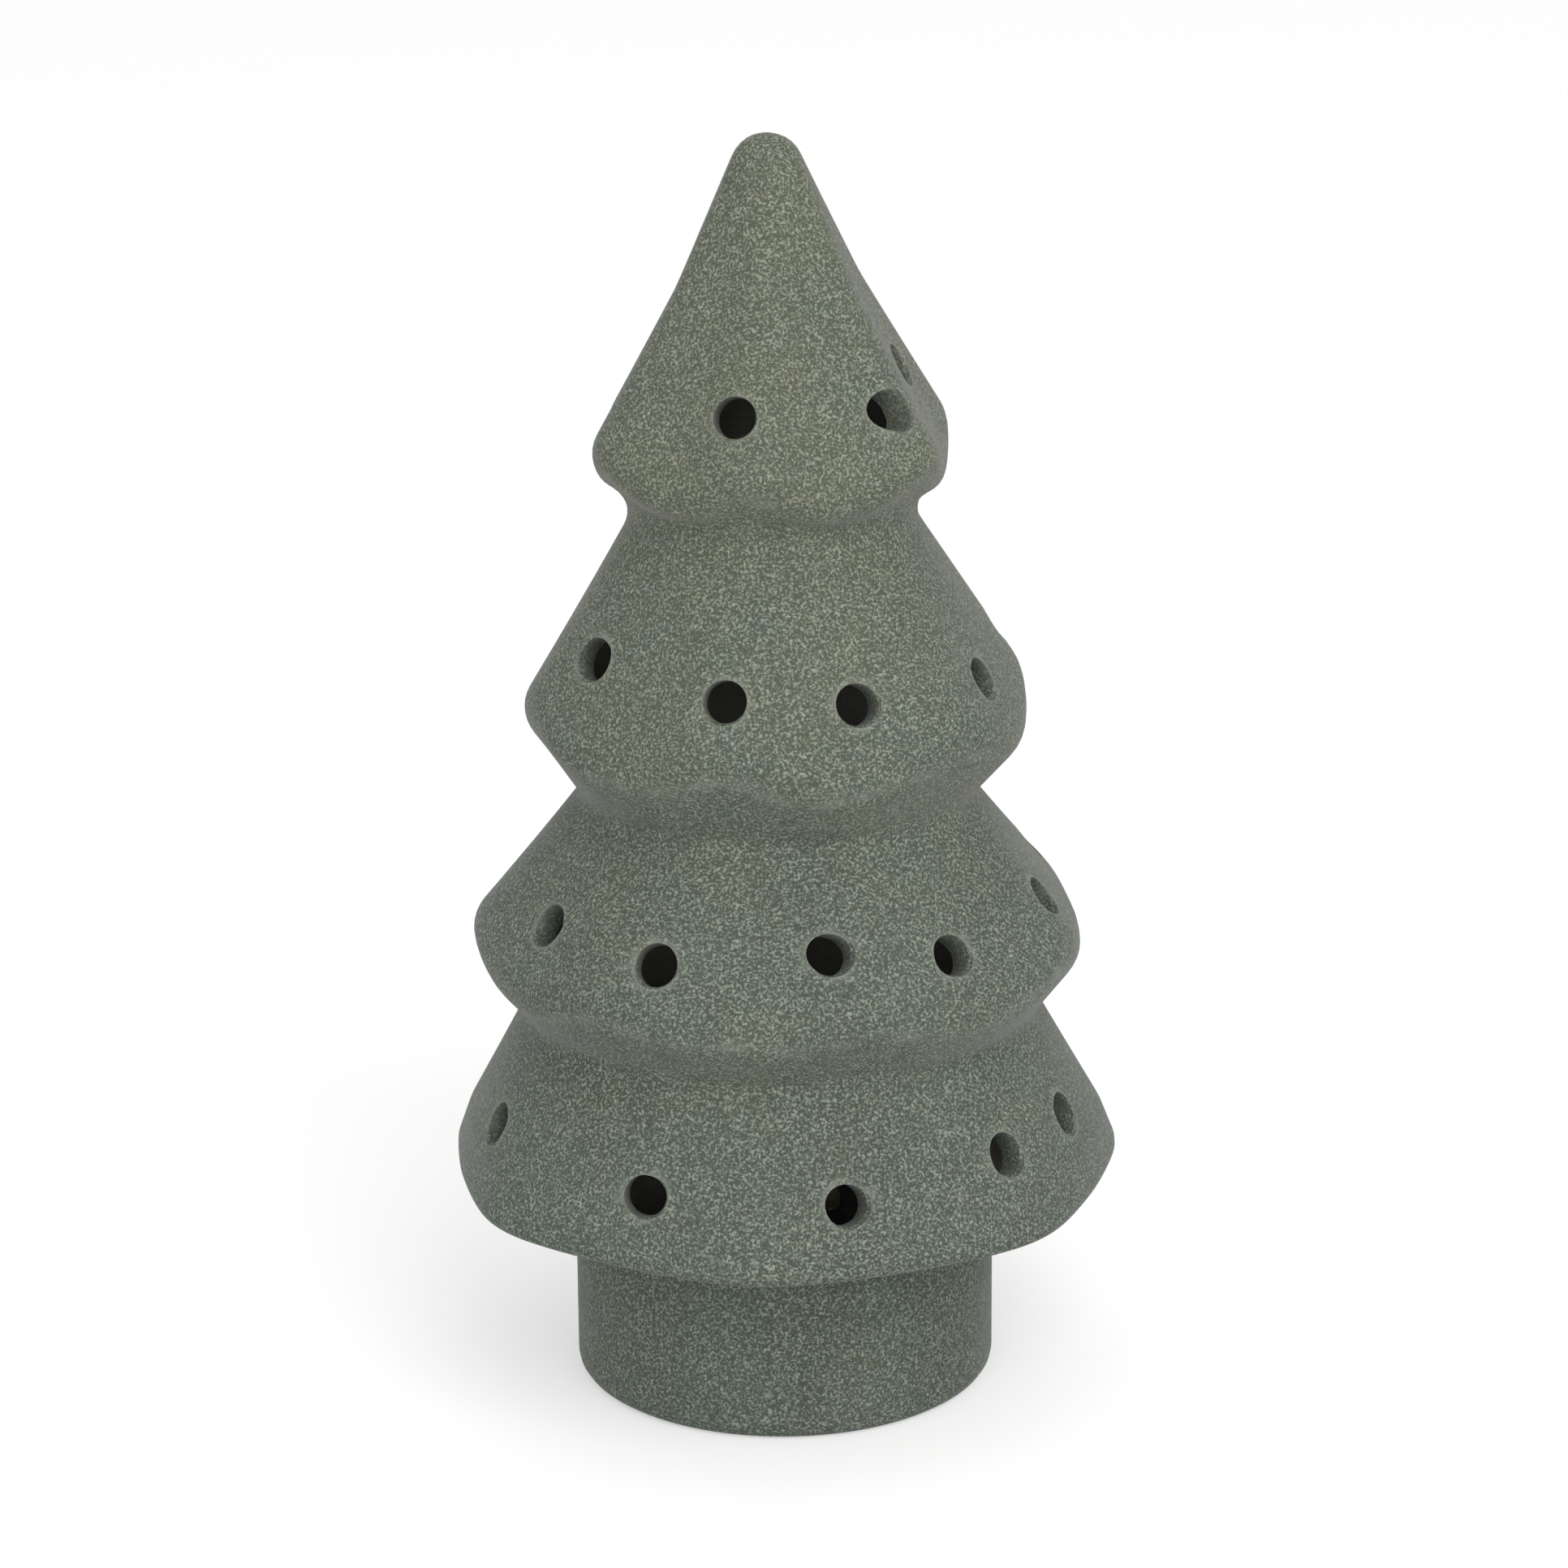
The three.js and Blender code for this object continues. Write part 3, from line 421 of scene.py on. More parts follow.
# The glaze runs thin along a wavering line just under each hem and at the edges of the holes. The walls of the
# holes are painted darker, as painted shade, and the inside of the tree is left bare. Each of the three is
# marked on the tree's mesh.
HEM_LINE_BELOW, HEM_LINE_WIDTH, HEM_LINE_SHARE = 0.0022, 0.001, 0.5
TUCK_FADE, TUCK_SHARE = 0.004, 0.12
RIM_SHARE, RIM_FADE = 0.75, 0.0007
SHADE_START, SHADE_FADE, SHADE_SHARE = 0.0002, 0.002, 0.6
NEAR_A_HOLE = 3.5 * HOLE_RADIUS
ON_A_HOLE = 1.6 * HOLE_EDGE
BEFORE_A_HOLE, BEHIND_A_HOLE = -0.6 * HOLE_RADIUS, WALL + 0.003
BARE_BELOW_SKIN, BARE_ABOVE_FLOOR = 0.002, 0.0005
marks = tree_piece.data.attributes
for name in ("thin_glaze", "inside", "hole_wall_shade"):
    marks.new(name, "FLOAT", "POINT")
for vertex in tree_piece.data.vertices:
    x, y, z = vertex.co
    azimuth = math.atan2(x - lean_at(z), -y)
    factor, lift = boughs_at(azimuth, z)
    level = z - lift
    below_skin = radius_at(outside, level) - math.hypot(x - lean_at(z), y) / factor
    waver = 0.0007 * math.sin(5 * azimuth + 90 * z) + 0.0005 * math.sin(11 * azimuth)
    thin = 0
    for below, hem, above in levels:
        ridge = math.exp(-(((level - hem + HEM_LINE_BELOW + waver) / HEM_LINE_WIDTH) ** 2))
        under = max(0, min((level - below) / TUCK_FADE, (hem - level) / TUCK_FADE, 1))
        thin = max(thin, HEM_LINE_SHARE * ridge, TUCK_SHARE * under)
    in_a_hole = False
    for place, out in hole_places:
        away = vertex.co - place
        if away.length < NEAR_A_HOLE:
            depth = -away.dot(out)
            aside = (away + depth * out).length - HOLE_RADIUS
            if aside < ON_A_HOLE and BEFORE_A_HOLE < depth < BEHIND_A_HOLE:
                in_a_hole = True
    if in_a_hole:
        thin = max(0, RIM_SHARE - below_skin / RIM_FADE)
        # Painted shade: a hole's wall is painted darker the deeper it lies under the outside skin.
        shade = max(0, min(SHADE_SHARE, (below_skin - SHADE_START) / SHADE_FADE))
        marks["hole_wall_shade"].data[vertex.index].value = shade
    elif z > floor_top + BARE_ABOVE_FLOOR and below_skin > BARE_BELOW_SKIN:
        marks["inside"].data[vertex.index].value = 1
    marks["thin_glaze"].data[vertex.index].value = thin


# The glaze is a matt reactive green. Fine pale crystals lie all over it like grains of rice, the colour
# drifts from teal low down to olive at the tip, and where the glaze is thick it runs down in darker streaks.
OLIVE = (0.098, 0.111, 0.078, 1)
TEAL = (0.08, 0.101, 0.081, 1)
BROWN = (0.106, 0.102, 0.08, 1)
THICK_GLAZE = (0.068, 0.078, 0.064, 1)
PALE_OLIVE = (0.362, 0.384, 0.3, 1)
PALE_TEAL = (0.325, 0.37, 0.312, 1)
THIN_GLAZE = (0.25, 0.265, 0.222, 1)
# Painted sheen: the grey that the glaze is painted towards where it turns away from the camera.
PAINTED_SHEEN_GREY = (0.2, 0.2, 0.187, 1)
BARE_INSIDE = (0.45, 0.44, 0.405, 1)
HOLE_SHADE = (0.055, 0.062, 0.05, 1)
DRIFT_SCALE, FLECK_SCALE, BLOTCH_SCALE, GRAIN_SCALE = 70, 1300, 190, 2700
RUN_SCALE, CLOUD_SCALE, WEAR_SCALE = 62, 330, 240
RUN_STRETCH = (1, 1, 0.3)
BLOTCH_SHARE = 0.35
# How much of that painted sheen grey is mixed in at the most glancing angle.
PAINTED_SHEEN_SHARE = 0.32
GRAIN_DEPTH = 0.00006


def noise_at(nodes, links, where, scale, detail=2, distortion=0):
    made = nodes.new("ShaderNodeTexNoise")
    made.inputs["Scale"].default_value = scale
    made.inputs["Detail"].default_value = detail
    made.inputs["Distortion"].default_value = distortion
    links.new(where, made.inputs["Vector"])
    return made.outputs["Fac"]


def ramp(nodes, links, value, low, high, to_low=0.0, to_high=1.0):
    made = nodes.new("ShaderNodeMapRange")
    made.interpolation_type = "SMOOTHSTEP"
    made.inputs["From Min"].default_value = low
    made.inputs["From Max"].default_value = high
    made.inputs["To Min"].default_value = to_low
    made.inputs["To Max"].default_value = to_high
    links.new(value, made.inputs["Value"])
    return made.outputs["Result"]


def mixed(nodes, links, share, first, second):
    """One colour over another by a share, each a colour or a socket."""
    made = nodes.new("ShaderNodeMix")
    made.data_type = "RGBA"
    for value, socket in ((share, made.inputs[0]), (first, made.inputs[6]), (second, made.inputs[7])):
        if isinstance(value, bpy.types.NodeSocket):
            links.new(value, socket)
        else:
            socket.default_value = value
    return made.outputs[2]


def times(nodes, links, first, second):
    made = nodes.new("ShaderNodeMath")
    made.operation = "MULTIPLY"
    links.new(first, made.inputs[0])
    if isinstance(second, bpy.types.NodeSocket):
        links.new(second, made.inputs[1])
    else:
        made.inputs[1].default_value = second
    return made.outputs[0]


def bumped(nodes, links, surface, height, depth, strength=1.0):
    made = nodes.new("ShaderNodeBump")
    made.inputs["Distance"].default_value = depth
    made.inputs["Strength"].default_value = strength
    links.new(height, made.inputs["Height"])
    links.new(made.outputs["Normal"], surface.inputs["Normal"])


def attribute(nodes, name):
    made = nodes.new("ShaderNodeAttribute")
    made.attribute_name = name
    return made.outputs["Fac"]


def added(nodes, links, first, second):
    made = nodes.new("ShaderNodeMath")
    made.operation = "ADD"
    links.new(first, made.inputs[0])
    links.new(second, made.inputs[1])
    return made.outputs[0]


glaze, nodes, links, surface = material_of("matt_green_glaze")
where = nodes.new("ShaderNodeTexCoord").outputs["Object"]
place_on_tree = nodes.new("ShaderNodeSeparateXYZ")
links.new(where, place_on_tree.inputs[0])
height = place_on_tree.outputs["Z"]

upwards = ramp(nodes, links, height, 0.02, 0.17, -0.12, 0.2)
drift = added(nodes, links, upwards, noise_at(nodes, links, where, DRIFT_SCALE, 4))
flecks = ramp(nodes, links, noise_at(nodes, links, where, FLECK_SCALE, 1), 0.3, 0.7, -0.16, 0.16)
hue = ramp(nodes, links, added(nodes, links, drift, flecks), 0.34, 0.74)
dark = mixed(nodes, links, hue, TEAL, OLIVE)
pale = mixed(nodes, links, hue, PALE_TEAL, PALE_OLIVE)
blotches = ramp(nodes, links, noise_at(nodes, links, where, BLOTCH_SCALE, 2), 0.5, 0.78)
dark = mixed(nodes, links, times(nodes, links, blotches, BLOTCH_SHARE), dark, BROWN)

runs = nodes.new("ShaderNodeMapping")
runs.inputs["Scale"].default_value = RUN_STRETCH
links.new(where, runs.inputs["Vector"])
streaks = noise_at(nodes, links, runs.outputs["Vector"], RUN_SCALE, 3)
streaks = ramp(nodes, links, streaks, 0.34, 0.68, 0.05, 0.4)
thick = times(nodes, links, streaks, ramp(nodes, links, height, 0.03, 0.17, 1.35, 0))
dark = mixed(nodes, links, thick, dark, THICK_GLAZE)

grains = ramp(nodes, links, noise_at(nodes, links, where, GRAIN_SCALE, 2, 0.3), 0.42, 0.74)
clouds = ramp(nodes, links, noise_at(nodes, links, where, CLOUD_SCALE, 2), 0.25, 0.75, 0.8, 1.0)
colour = mixed(nodes, links, times(nodes, links, grains, clouds), dark, pale)
worn = ramp(nodes, links, noise_at(nodes, links, where, WEAR_SCALE, 3), 0.3, 0.7, 0.2, 1.0)
colour = mixed(nodes, links, times(nodes, links, attribute(nodes, "thin_glaze"), worn), colour, THIN_GLAZE)
# Painted sheen: where the surface turns away from the camera, its colour is painted paler and greyer. This
# stands in for the glancing light of the white room on the matt glaze.
turning_away = nodes.new("ShaderNodeLayerWeight")
turning_away.inputs["Blend"].default_value = 0.5
painted_sheen = ramp(nodes, links, turning_away.outputs["Facing"], 0.5, 0.95, 0, PAINTED_SHEEN_SHARE)
colour = mixed(nodes, links, painted_sheen, colour, PAINTED_SHEEN_GREY)
# Painted shade on the walls of the holes.
colour = mixed(nodes, links, attribute(nodes, "hole_wall_shade"), colour, HOLE_SHADE)
colour = mixed(nodes, links, attribute(nodes, "inside"), colour, BARE_INSIDE)
links.new(colour, surface.inputs["Base Color"])
links.new(ramp(nodes, links, grains, 0, 1, 0.86, 0.72), surface.inputs["Roughness"])
surface.inputs["Specular IOR Level"].default_value = 0.25
surface.inputs["Sheen Weight"].default_value = 0.14
surface.inputs["Sheen Roughness"].default_value = 0.4
bumped(nodes, links, surface, grains, GRAIN_DEPTH, 0.5)
tree_piece.data.materials.clear()
tree_piece.data.materials.append(glaze)
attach(tree_piece, "tree")
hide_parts("tree_shell")


# What the plastics, metals and coatings of the light share: a fine grain that moves the colour, the gloss and
# the height of a surface a little. It can be stretched along an axis for brushed or drawn metal.
grain = bpy.data.node_groups.new("fine_grain", "ShaderNodeTree")
for name, kind, value in (
    ("First Color", "NodeSocketColor", (0.5, 0.5, 0.5, 1)),
    ("Second Color", "NodeSocketColor", (0.5, 0.5, 0.5, 1)),
    ("Smooth", "NodeSocketFloat", 0.4),
    ("Rough", "NodeSocketFloat", 0.6),
    ("Scale", "NodeSocketFloat", 4000),
    ("Stretch", "NodeSocketVector", (1, 1, 1)),
):
    grain.interface.new_socket(name, in_out="INPUT", socket_type=kind).default_value = value
for name, kind in (
    ("Base Color", "NodeSocketColor"), ("Roughness", "NodeSocketFloat"), ("Height", "NodeSocketFloat"),
):
    grain.interface.new_socket(name, in_out="OUTPUT", socket_type=kind)
nodes, links = grain.nodes, grain.links
given = nodes.new("NodeGroupInput")
result = nodes.new("NodeGroupOutput")
where = nodes.new("ShaderNodeTexCoord").outputs["Object"]
stretched = nodes.new("ShaderNodeVectorMath")
stretched.operation = "MULTIPLY"
links.new(where, stretched.inputs[0])
links.new(given.outputs["Stretch"], stretched.inputs[1])
fine = nodes.new("ShaderNodeTexNoise")
fine.inputs["Detail"].default_value = 3
links.new(stretched.outputs[0], fine.inputs["Vector"])
links.new(given.outputs["Scale"], fine.inputs["Scale"])
wear = noise_at(nodes, links, where, 300, 3)
half_fine = times(nodes, links, ramp(nodes, links, fine.outputs["Fac"], 0.3, 0.7), 0.5)
half_worn = times(nodes, links, ramp(nodes, links, wear, 0.3, 0.7), 0.5)
share = added(nodes, links, half_fine, half_worn)
links.new(
    mixed(nodes, links, share, given.outputs["First Color"], given.outputs["Second Color"]),
    result.inputs["Base Color"],
)
gloss = nodes.new("ShaderNodeMix")
links.new(share, gloss.inputs[0])
links.new(given.outputs["Smooth"], gloss.inputs[2])
links.new(given.outputs["Rough"], gloss.inputs[3])
links.new(gloss.outputs[0], result.inputs["Roughness"])
links.new(fine.outputs["Fac"], result.inputs["Height"])


def grained(name, first, second, gloss, scale, depth, metallic=0.0, stretch=(1, 1, 1)):
    """A material with the fine grain: two colours, its least and most roughness, and the grain's depth."""
    made, nodes, links, surface = material_of(name)
    group = nodes.new("ShaderNodeGroup")
    group.node_tree = grain
    group.inputs["First Color"].default_value = (*first, 1)
    group.inputs["Second Color"].default_value = (*second, 1)
    group.inputs["Smooth"].default_value, group.inputs["Rough"].default_value = gloss
    group.inputs["Scale"].default_value = scale
    group.inputs["Stretch"].default_value = stretch
    links.new(group.outputs["Base Color"], surface.inputs["Base Color"])
    links.new(group.outputs["Roughness"], surface.inputs["Roughness"])
    surface.inputs["Metallic"].default_value = metallic
    bumped(nodes, links, surface, group.outputs["Height"], depth)
    return made


def block(name, across, along, up, edge=0.0, segments=3):
    """A box between three pairs of sides, its edges rounded."""
    shape = bmesh.new()
    size = [b - a for a, b in (across, along, up)]
    middle = Vector([(a + b) / 2 for a, b in (across, along, up)])
    bmesh.ops.create_cube(shape, size=1, matrix=Matrix.Translation(middle) @ Matrix.Diagonal((*size, 1)))
    if edge:
        bmesh.ops.bevel(
            shape, geom=shape.edges, offset=edge, segments=segments,
            profile=0.5, affect="EDGES", material=-1,
        )
    for face in shape.faces:
        face.smooth = True
    return object_of(name, shape)


def rod(name, outline, around, at=(0, 0)):
    """A round piece about an upright axis, from an outline that starts and ends on it."""
    shape = spun(outline, around)
    shape.transform(Matrix.Translation((*at, 0)))
    return object_of(name, shape)


def placed(piece, material, body, node):
    """The piece gets its material, and stands for its CAD node on a body."""
    piece.data.materials.clear()
    piece.data.materials.append(material)
    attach(piece, body)
    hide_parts(node)


# The light's housing is one moulding of black plastic: a flange that lies under the pierced floor, a cup that
# stands up through it, a bay for the cells, and bosses for the screws. The mould was spark-eroded to a fine
# matt.
PLATE_BOTTOM, PLATE_TOP = 0.0011, 0.0037
FLANGE_RADIUS, CUP_RADIUS, CUP_BORE, CUP_TOP = 0.02304, 0.01804, 0.01664, 0.0208
BAY_HALF, BAY_FRONT, BAY_BACK = 0.01105, -0.0047, 0.0077
BAY_BOTTOM, BAY_TOP, BAY_WALL = 0.0021, 0.0153, 0.0012
BAY_MIDDLE = (BAY_FRONT + BAY_BACK) / 2
HINGE_X, HINGE_HEIGHT, HINGE_RADIUS = -0.01225, 0.002, 0.0009
LEAF_TOP, EAR_TOP, EAR_HALF, DOOR_END_X = 0.0029, 0.0025, 0.0032, 0.01685
DOOR_SCREW_PLACE = (0.01405, BAY_MIDDLE)
DOOR_BOSS_TOP, DOOR_BORE_TOP = 0.0081, 0.0074
BOSS_RADIUS, BOSS_RING, BORE_BOTTOM, SCREW_BORE = 0.0022, 0.01404, 0.0138, 0.0012
CONTACT_PLUS_X, CONTACT_MINUS_X = 0.01035, -0.01075
TAIL_SLOT_FRONT, TAIL_SLOT_BACK = 0.0002, 0.0028
SWITCH_Y, SWITCH_SLOT_HALF = -0.0114, (0.0031, 0.0012)

# Cutters and joined parts run past the surfaces that they meet by this much.
PAST = 0.001


def thrice_round(radius, first):
    """Three places at even angles on a ring, the first at an angle in degrees."""
    angles = [math.radians(first + 120 * k) for k in range(3)]
    return [(radius * math.cos(angle), radius * math.sin(angle)) for angle in angles]


def bored(piece, at, radius, low, high, around=24):
    """Cuts an upright round bore from a piece."""
    cut_from(piece, rod("bore", [(0, low), (radius, low), (radius, high), (0, high)], around, at))


SCREW_PLACES = thrice_round(BOSS_RING, 90)
BLACK_PLASTIC = grained(
    "black_plastic", (0.01, 0.0105, 0.011), (0.025, 0.0255, 0.026),
    gloss=(0.46, 0.7), scale=7000, depth=0.00003,
)
cup = rounded(
    [(0, PLATE_BOTTOM, 0), (FLANGE_RADIUS, PLATE_BOTTOM, 0.0005), (FLANGE_RADIUS, PLATE_TOP, 0.0004),
     (CUP_RADIUS, PLATE_TOP, 0.0003), (CUP_RADIUS, CUP_TOP, 0.0002), (CUP_BORE, CUP_TOP, 0.0002),
     (CUP_BORE, PLATE_TOP, 0.0005), (0, PLATE_TOP, 0)],
    step=0.0008,
)
housing = rod("light_housing_moulding", cup, around=96)
joined_to(housing, block(
    "bay_walls", (-BAY_HALF - BAY_WALL, BAY_HALF + BAY_WALL), (BAY_FRONT - BAY_WALL, BAY_BACK + BAY_WALL),
    (PLATE_TOP - PAST, BAY_TOP + BAY_WALL), edge=0.0003,
))
for at, top in [(place, CUP_TOP) for place in SCREW_PLACES] + [(DOOR_SCREW_PLACE, DOOR_BOSS_TOP)]:
    root = PLATE_TOP - PAST
    sides = [(0, root, 0), (BOSS_RADIUS, root, 0), (BOSS_RADIUS, top, 0.0002), (0, top, 0)]
    joined_to(housing, rod("boss", rounded(sides, step=0.0006), around=32, at=at))


def door_form(name, gap, below, edge):
    """The door's round hinge edge, leaf and ear, or with a gap the recess that it lies in."""
    bottom, front, back, radius = PLATE_BOTTOM - below, BAY_FRONT - gap, BAY_BACK + gap, HINGE_RADIUS + gap
    leaf = block(name, (HINGE_X, BAY_HALF + gap), (front, back), (bottom, LEAF_TOP + gap), edge=edge)
    knuckle = spun([(0, front), (radius, front), (radius, back), (0, back)], around=32)
    lying = Matrix.Rotation(math.radians(-90), 4, "X")
    knuckle.transform(Matrix.Translation((HINGE_X, 0, HINGE_HEIGHT)) @ lying)
    joined_to(leaf, object_of("knuckle", knuckle))
    ear = block(
        "ear", (BAY_HALF - PAST, DOOR_END_X + gap),
        (BAY_MIDDLE - EAR_HALF - gap, BAY_MIDDLE + EAR_HALF + gap), (bottom, EAR_TOP + gap), edge=edge,
    )
    return joined_to(leaf, ear)


bay = block("bay", (-BAY_HALF, BAY_HALF), (BAY_FRONT, BAY_BACK), (BAY_BOTTOM, BAY_TOP), edge=0.0002)
cut_from(housing, bay)
cut_from(housing, door_form("recess", gap=0.0003, below=PAST, edge=0))
for x in (CONTACT_MINUS_X, CONTACT_PLUS_X):
    cut_from(housing, block(
        "tail_slot", (x - 0.0003, x + 0.00055), (TAIL_SLOT_FRONT, TAIL_SLOT_BACK),
        (BAY_TOP - PAST, BAY_TOP + BAY_WALL + PAST),
    ))
for at in SCREW_PLACES:
    bored(housing, at, SCREW_BORE, BORE_BOTTOM, CUP_TOP + PAST)
bored(housing, DOOR_SCREW_PLACE, SCREW_BORE, PLATE_BOTTOM - PAST, DOOR_BORE_TOP)
cut_from(housing, block(
    "switch_slot", (-SWITCH_SLOT_HALF[0], SWITCH_SLOT_HALF[0]),
    (SWITCH_Y - SWITCH_SLOT_HALF[1], SWITCH_Y + SWITCH_SLOT_HALF[1]), (PLATE_BOTTOM - PAST, PLATE_TOP + PAST),
))
placed(housing, BLACK_PLASTIC, "light_unit", "light_housing")


# The battery door is a thin moulding that swings on its round edge. Three grooves in its ear give a finger
# hold, and the head of its screw sits in a sunk bore there.
HEAD_BORE, HEAD_BORE_TOP = 0.0021, 0.0021
GROOVES_X, GROOVE_HALF, GROOVE_END, GROOVE_TOP = (0.0078, 0.0087, 0.0096), 0.00022, 0.0034, 0.00135
door = door_form("battery_door_moulding", gap=0, below=0, edge=0.0002)
bored(door, DOOR_SCREW_PLACE, HEAD_BORE, PLATE_BOTTOM - PAST, HEAD_BORE_TOP, around=40)
bored(door, DOOR_SCREW_PLACE, SCREW_BORE, PLATE_BOTTOM - PAST, PLATE_TOP)
for x in GROOVES_X:
    cut_from(door, block(
        "groove", (x - GROOVE_HALF, x + GROOVE_HALF), (BAY_MIDDLE - GROOVE_END, BAY_MIDDLE + GROOVE_END),
        (PLATE_BOTTOM - 0.0005, GROOVE_TOP), edge=0.0001, segments=2,
    ))
placed(door, BLACK_PLASTIC, "door", "battery_door")


# The cover closes the cup. It is the same black plastic, with a bevelled rim, a lip that finds the cup's
# bore, and clear openings for the lamps and the screws.
COVER_BOTTOM, COVER_TOP, COVER_BEVEL = 0.0211, 0.0226, 0.0004
LIP_BOTTOM, LIP_TOP, LIP_WIDTH, LIP_GAP = 0.0201, 0.0215, 0.0014, 0.0003
LAMP_RING, LAMP_OPENING, BOSS_WAY = 0.0066, 0.0028, 0.0025
LAMP_PLACES = thrice_round(LAMP_RING, 30)
cover = rod("light_cover_moulding", rounded(
    [(0, COVER_BOTTOM, 0), (CUP_RADIUS, COVER_BOTTOM, 0.0002), (CUP_RADIUS, COVER_TOP - COVER_BEVEL, 0.0002),
     (CUP_RADIUS - COVER_BEVEL, COVER_TOP, 0.0002), (0, COVER_TOP, 0)],
    step=0.0008,
), around=96)
lip_outside = CUP_BORE - LIP_GAP
lip_inside = lip_outside - LIP_WIDTH
lip = object_of("lip", spun(
    [(lip_inside, LIP_BOTTOM), (lip_outside, LIP_BOTTOM), (lip_outside, LIP_TOP), (lip_inside, LIP_TOP)],
    around=96, closed=True,
))
for at in SCREW_PLACES:
    bored(lip, at, BOSS_WAY, LIP_BOTTOM - PAST, COVER_BOTTOM, around=32)
joined_to(cover, lip)
for places, radius in ((LAMP_PLACES, LAMP_OPENING), (SCREW_PLACES, SCREW_BORE)):
    for at in places:
        bored(cover, at, radius, LIP_BOTTOM - PAST, COVER_TOP + PAST, around=40)
placed(cover, BLACK_PLASTIC, "light_unit", "light_cover")


# A soft silicone ring with three round ribs holds the cup in the pierced floor. It is milky and matt, and a
# little dust clings to it.
GRIP_BORE, RIB_RADIUS, RIB_DEPTH = 0.01834, 0.02054, 0.0005
GRIP_BOTTOM, GRIP_HEIGHT, GRIP_BANDS = 0.004, 0.005, 5
SILICONE = grained(
    "milky_silicone", (0.62, 0.64, 0.61), (0.74, 0.755, 0.73), gloss=(0.55, 0.75), scale=2500, depth=0.00002,
)
bands = [
    (RIB_RADIUS - (RIB_DEPTH if k % 2 else 0), GRIP_BOTTOM + GRIP_HEIGHT * (k + end) / GRIP_BANDS, 0.0003)
    for k in range(GRIP_BANDS)
    for end in (0, 1)
]
ring_outline = rounded(
    [(GRIP_BORE, GRIP_BOTTOM, 0), *bands, (GRIP_BORE, GRIP_BOTTOM + GRIP_HEIGHT, 0)], step=0.0004,
)
grip_ring = object_of("ribbed_grip_ring", spun(ring_outline, around=120, closed=True))
placed(grip_ring, SILICONE, "light_unit", "grip_ring")


# The circuit board is a round of glass fibre under green solder mask, with copper tracks that show through
# the mask. It carries three small resistors, and the legs and tails that come through it end in beads of
# solder.
BOARD_RADIUS, BOARD_BOTTOM, BOARD_TOP = 0.01144, 0.0168, 0.018
MASK_GREEN = (0.01, 0.07, 0.028, 1)
TRACK_GREEN = (0.03, 0.16, 0.06, 1)
LEG_SPREAD, TAIL_HOLES = 0.00127, [(-0.0093, 0.0002), (0.0093, 0.0002)]
BEAD_RADIUS, BEAD_HEIGHT, BEAD_FLATNESS = 0.0006, 0.01805, 0.3
RESISTOR_RING = 0.0085
board_material, nodes, links, surface = material_of("green_solder_mask")
where = nodes.new("ShaderNodeTexCoord").outputs["Object"]
tracks = nodes.new("ShaderNodeTexWave")
tracks.wave_type = "BANDS"
tracks.bands_direction = "DIAGONAL"
tracks.inputs["Scale"].default_value = 260
tracks.inputs["Distortion"].default_value = 3
tracks.inputs["Detail Scale"].default_value = 0.5
links.new(where, tracks.inputs["Vector"])
track = ramp(nodes, links, tracks.outputs["Fac"], 0.45, 0.55)
links.new(mixed(nodes, links, track, MASK_GREEN, TRACK_GREEN), surface.inputs["Base Color"])
mask_gloss = ramp(nodes, links, noise_at(nodes, links, where, 1500, 3), 0.3, 0.7, 0.3, 0.42)
links.new(mask_gloss, surface.inputs["Roughness"])
bumped(nodes, links, surface, track, 0.00003)
board = rod("round_circuit_board", rounded(
    [(0, BOARD_BOTTOM, 0), (BOARD_RADIUS, BOARD_BOTTOM, 0.0001), (BOARD_RADIUS, BOARD_TOP, 0.0001),
     (0, BOARD_TOP, 0)],
    step=0.0004,
), around=96)
placed(board, board_material, "light_unit", "circuit_board")
SOLDER = grained(
    "solder", (0.58, 0.58, 0.57), (0.68, 0.68, 0.67),
    gloss=(0.2, 0.35), scale=5000, depth=0.00001, metallic=1.0,
)
beads = bmesh.new()
for x, y in [(x + side, y) for x, y in LAMP_PLACES for side in (-LEG_SPREAD, LEG_SPREAD)] + TAIL_HOLES:
    bmesh.ops.create_uvsphere(
        beads, u_segments=20, v_segments=10, radius=BEAD_RADIUS,
        matrix=Matrix.Translation((x, y, BEAD_HEIGHT)) @ Matrix.Diagonal((1, 1, BEAD_FLATNESS, 1)),
    )
for face in beads.faces:
    face.smooth = True
placed(object_of("solder_beads", beads), SOLDER, "light_unit", "circuit_board")
RESISTOR = grained(
    "resistor_black", (0.018, 0.018, 0.02), (0.03, 0.03, 0.032), gloss=(0.35, 0.5), scale=6000, depth=0.00001,
)
for k in range(3):
    name = f"resistor_{k + 1}"
    chip = block(name, (-0.0006, 0.0006), (-0.0004, 0.0004), (0.01805, 0.0185), edge=0.00006, segments=2)
    ends = block(
        name + "_ends", (-0.00085, 0.00085), (-0.00042, 0.00042), (0.01803, 0.01848),
        edge=0.00008, segments=2,
    )
    turn = Matrix.Rotation(math.radians(90 + 120 * k), 4, "Z")
    for made in (ends, chip):
        made.data.transform(turn @ Matrix.Translation((RESISTOR_RING, 0, 0)))
    placed(chip, RESISTOR, "light_unit", "circuit_board")
    placed(ends, SOLDER, "light_unit", "circuit_board")


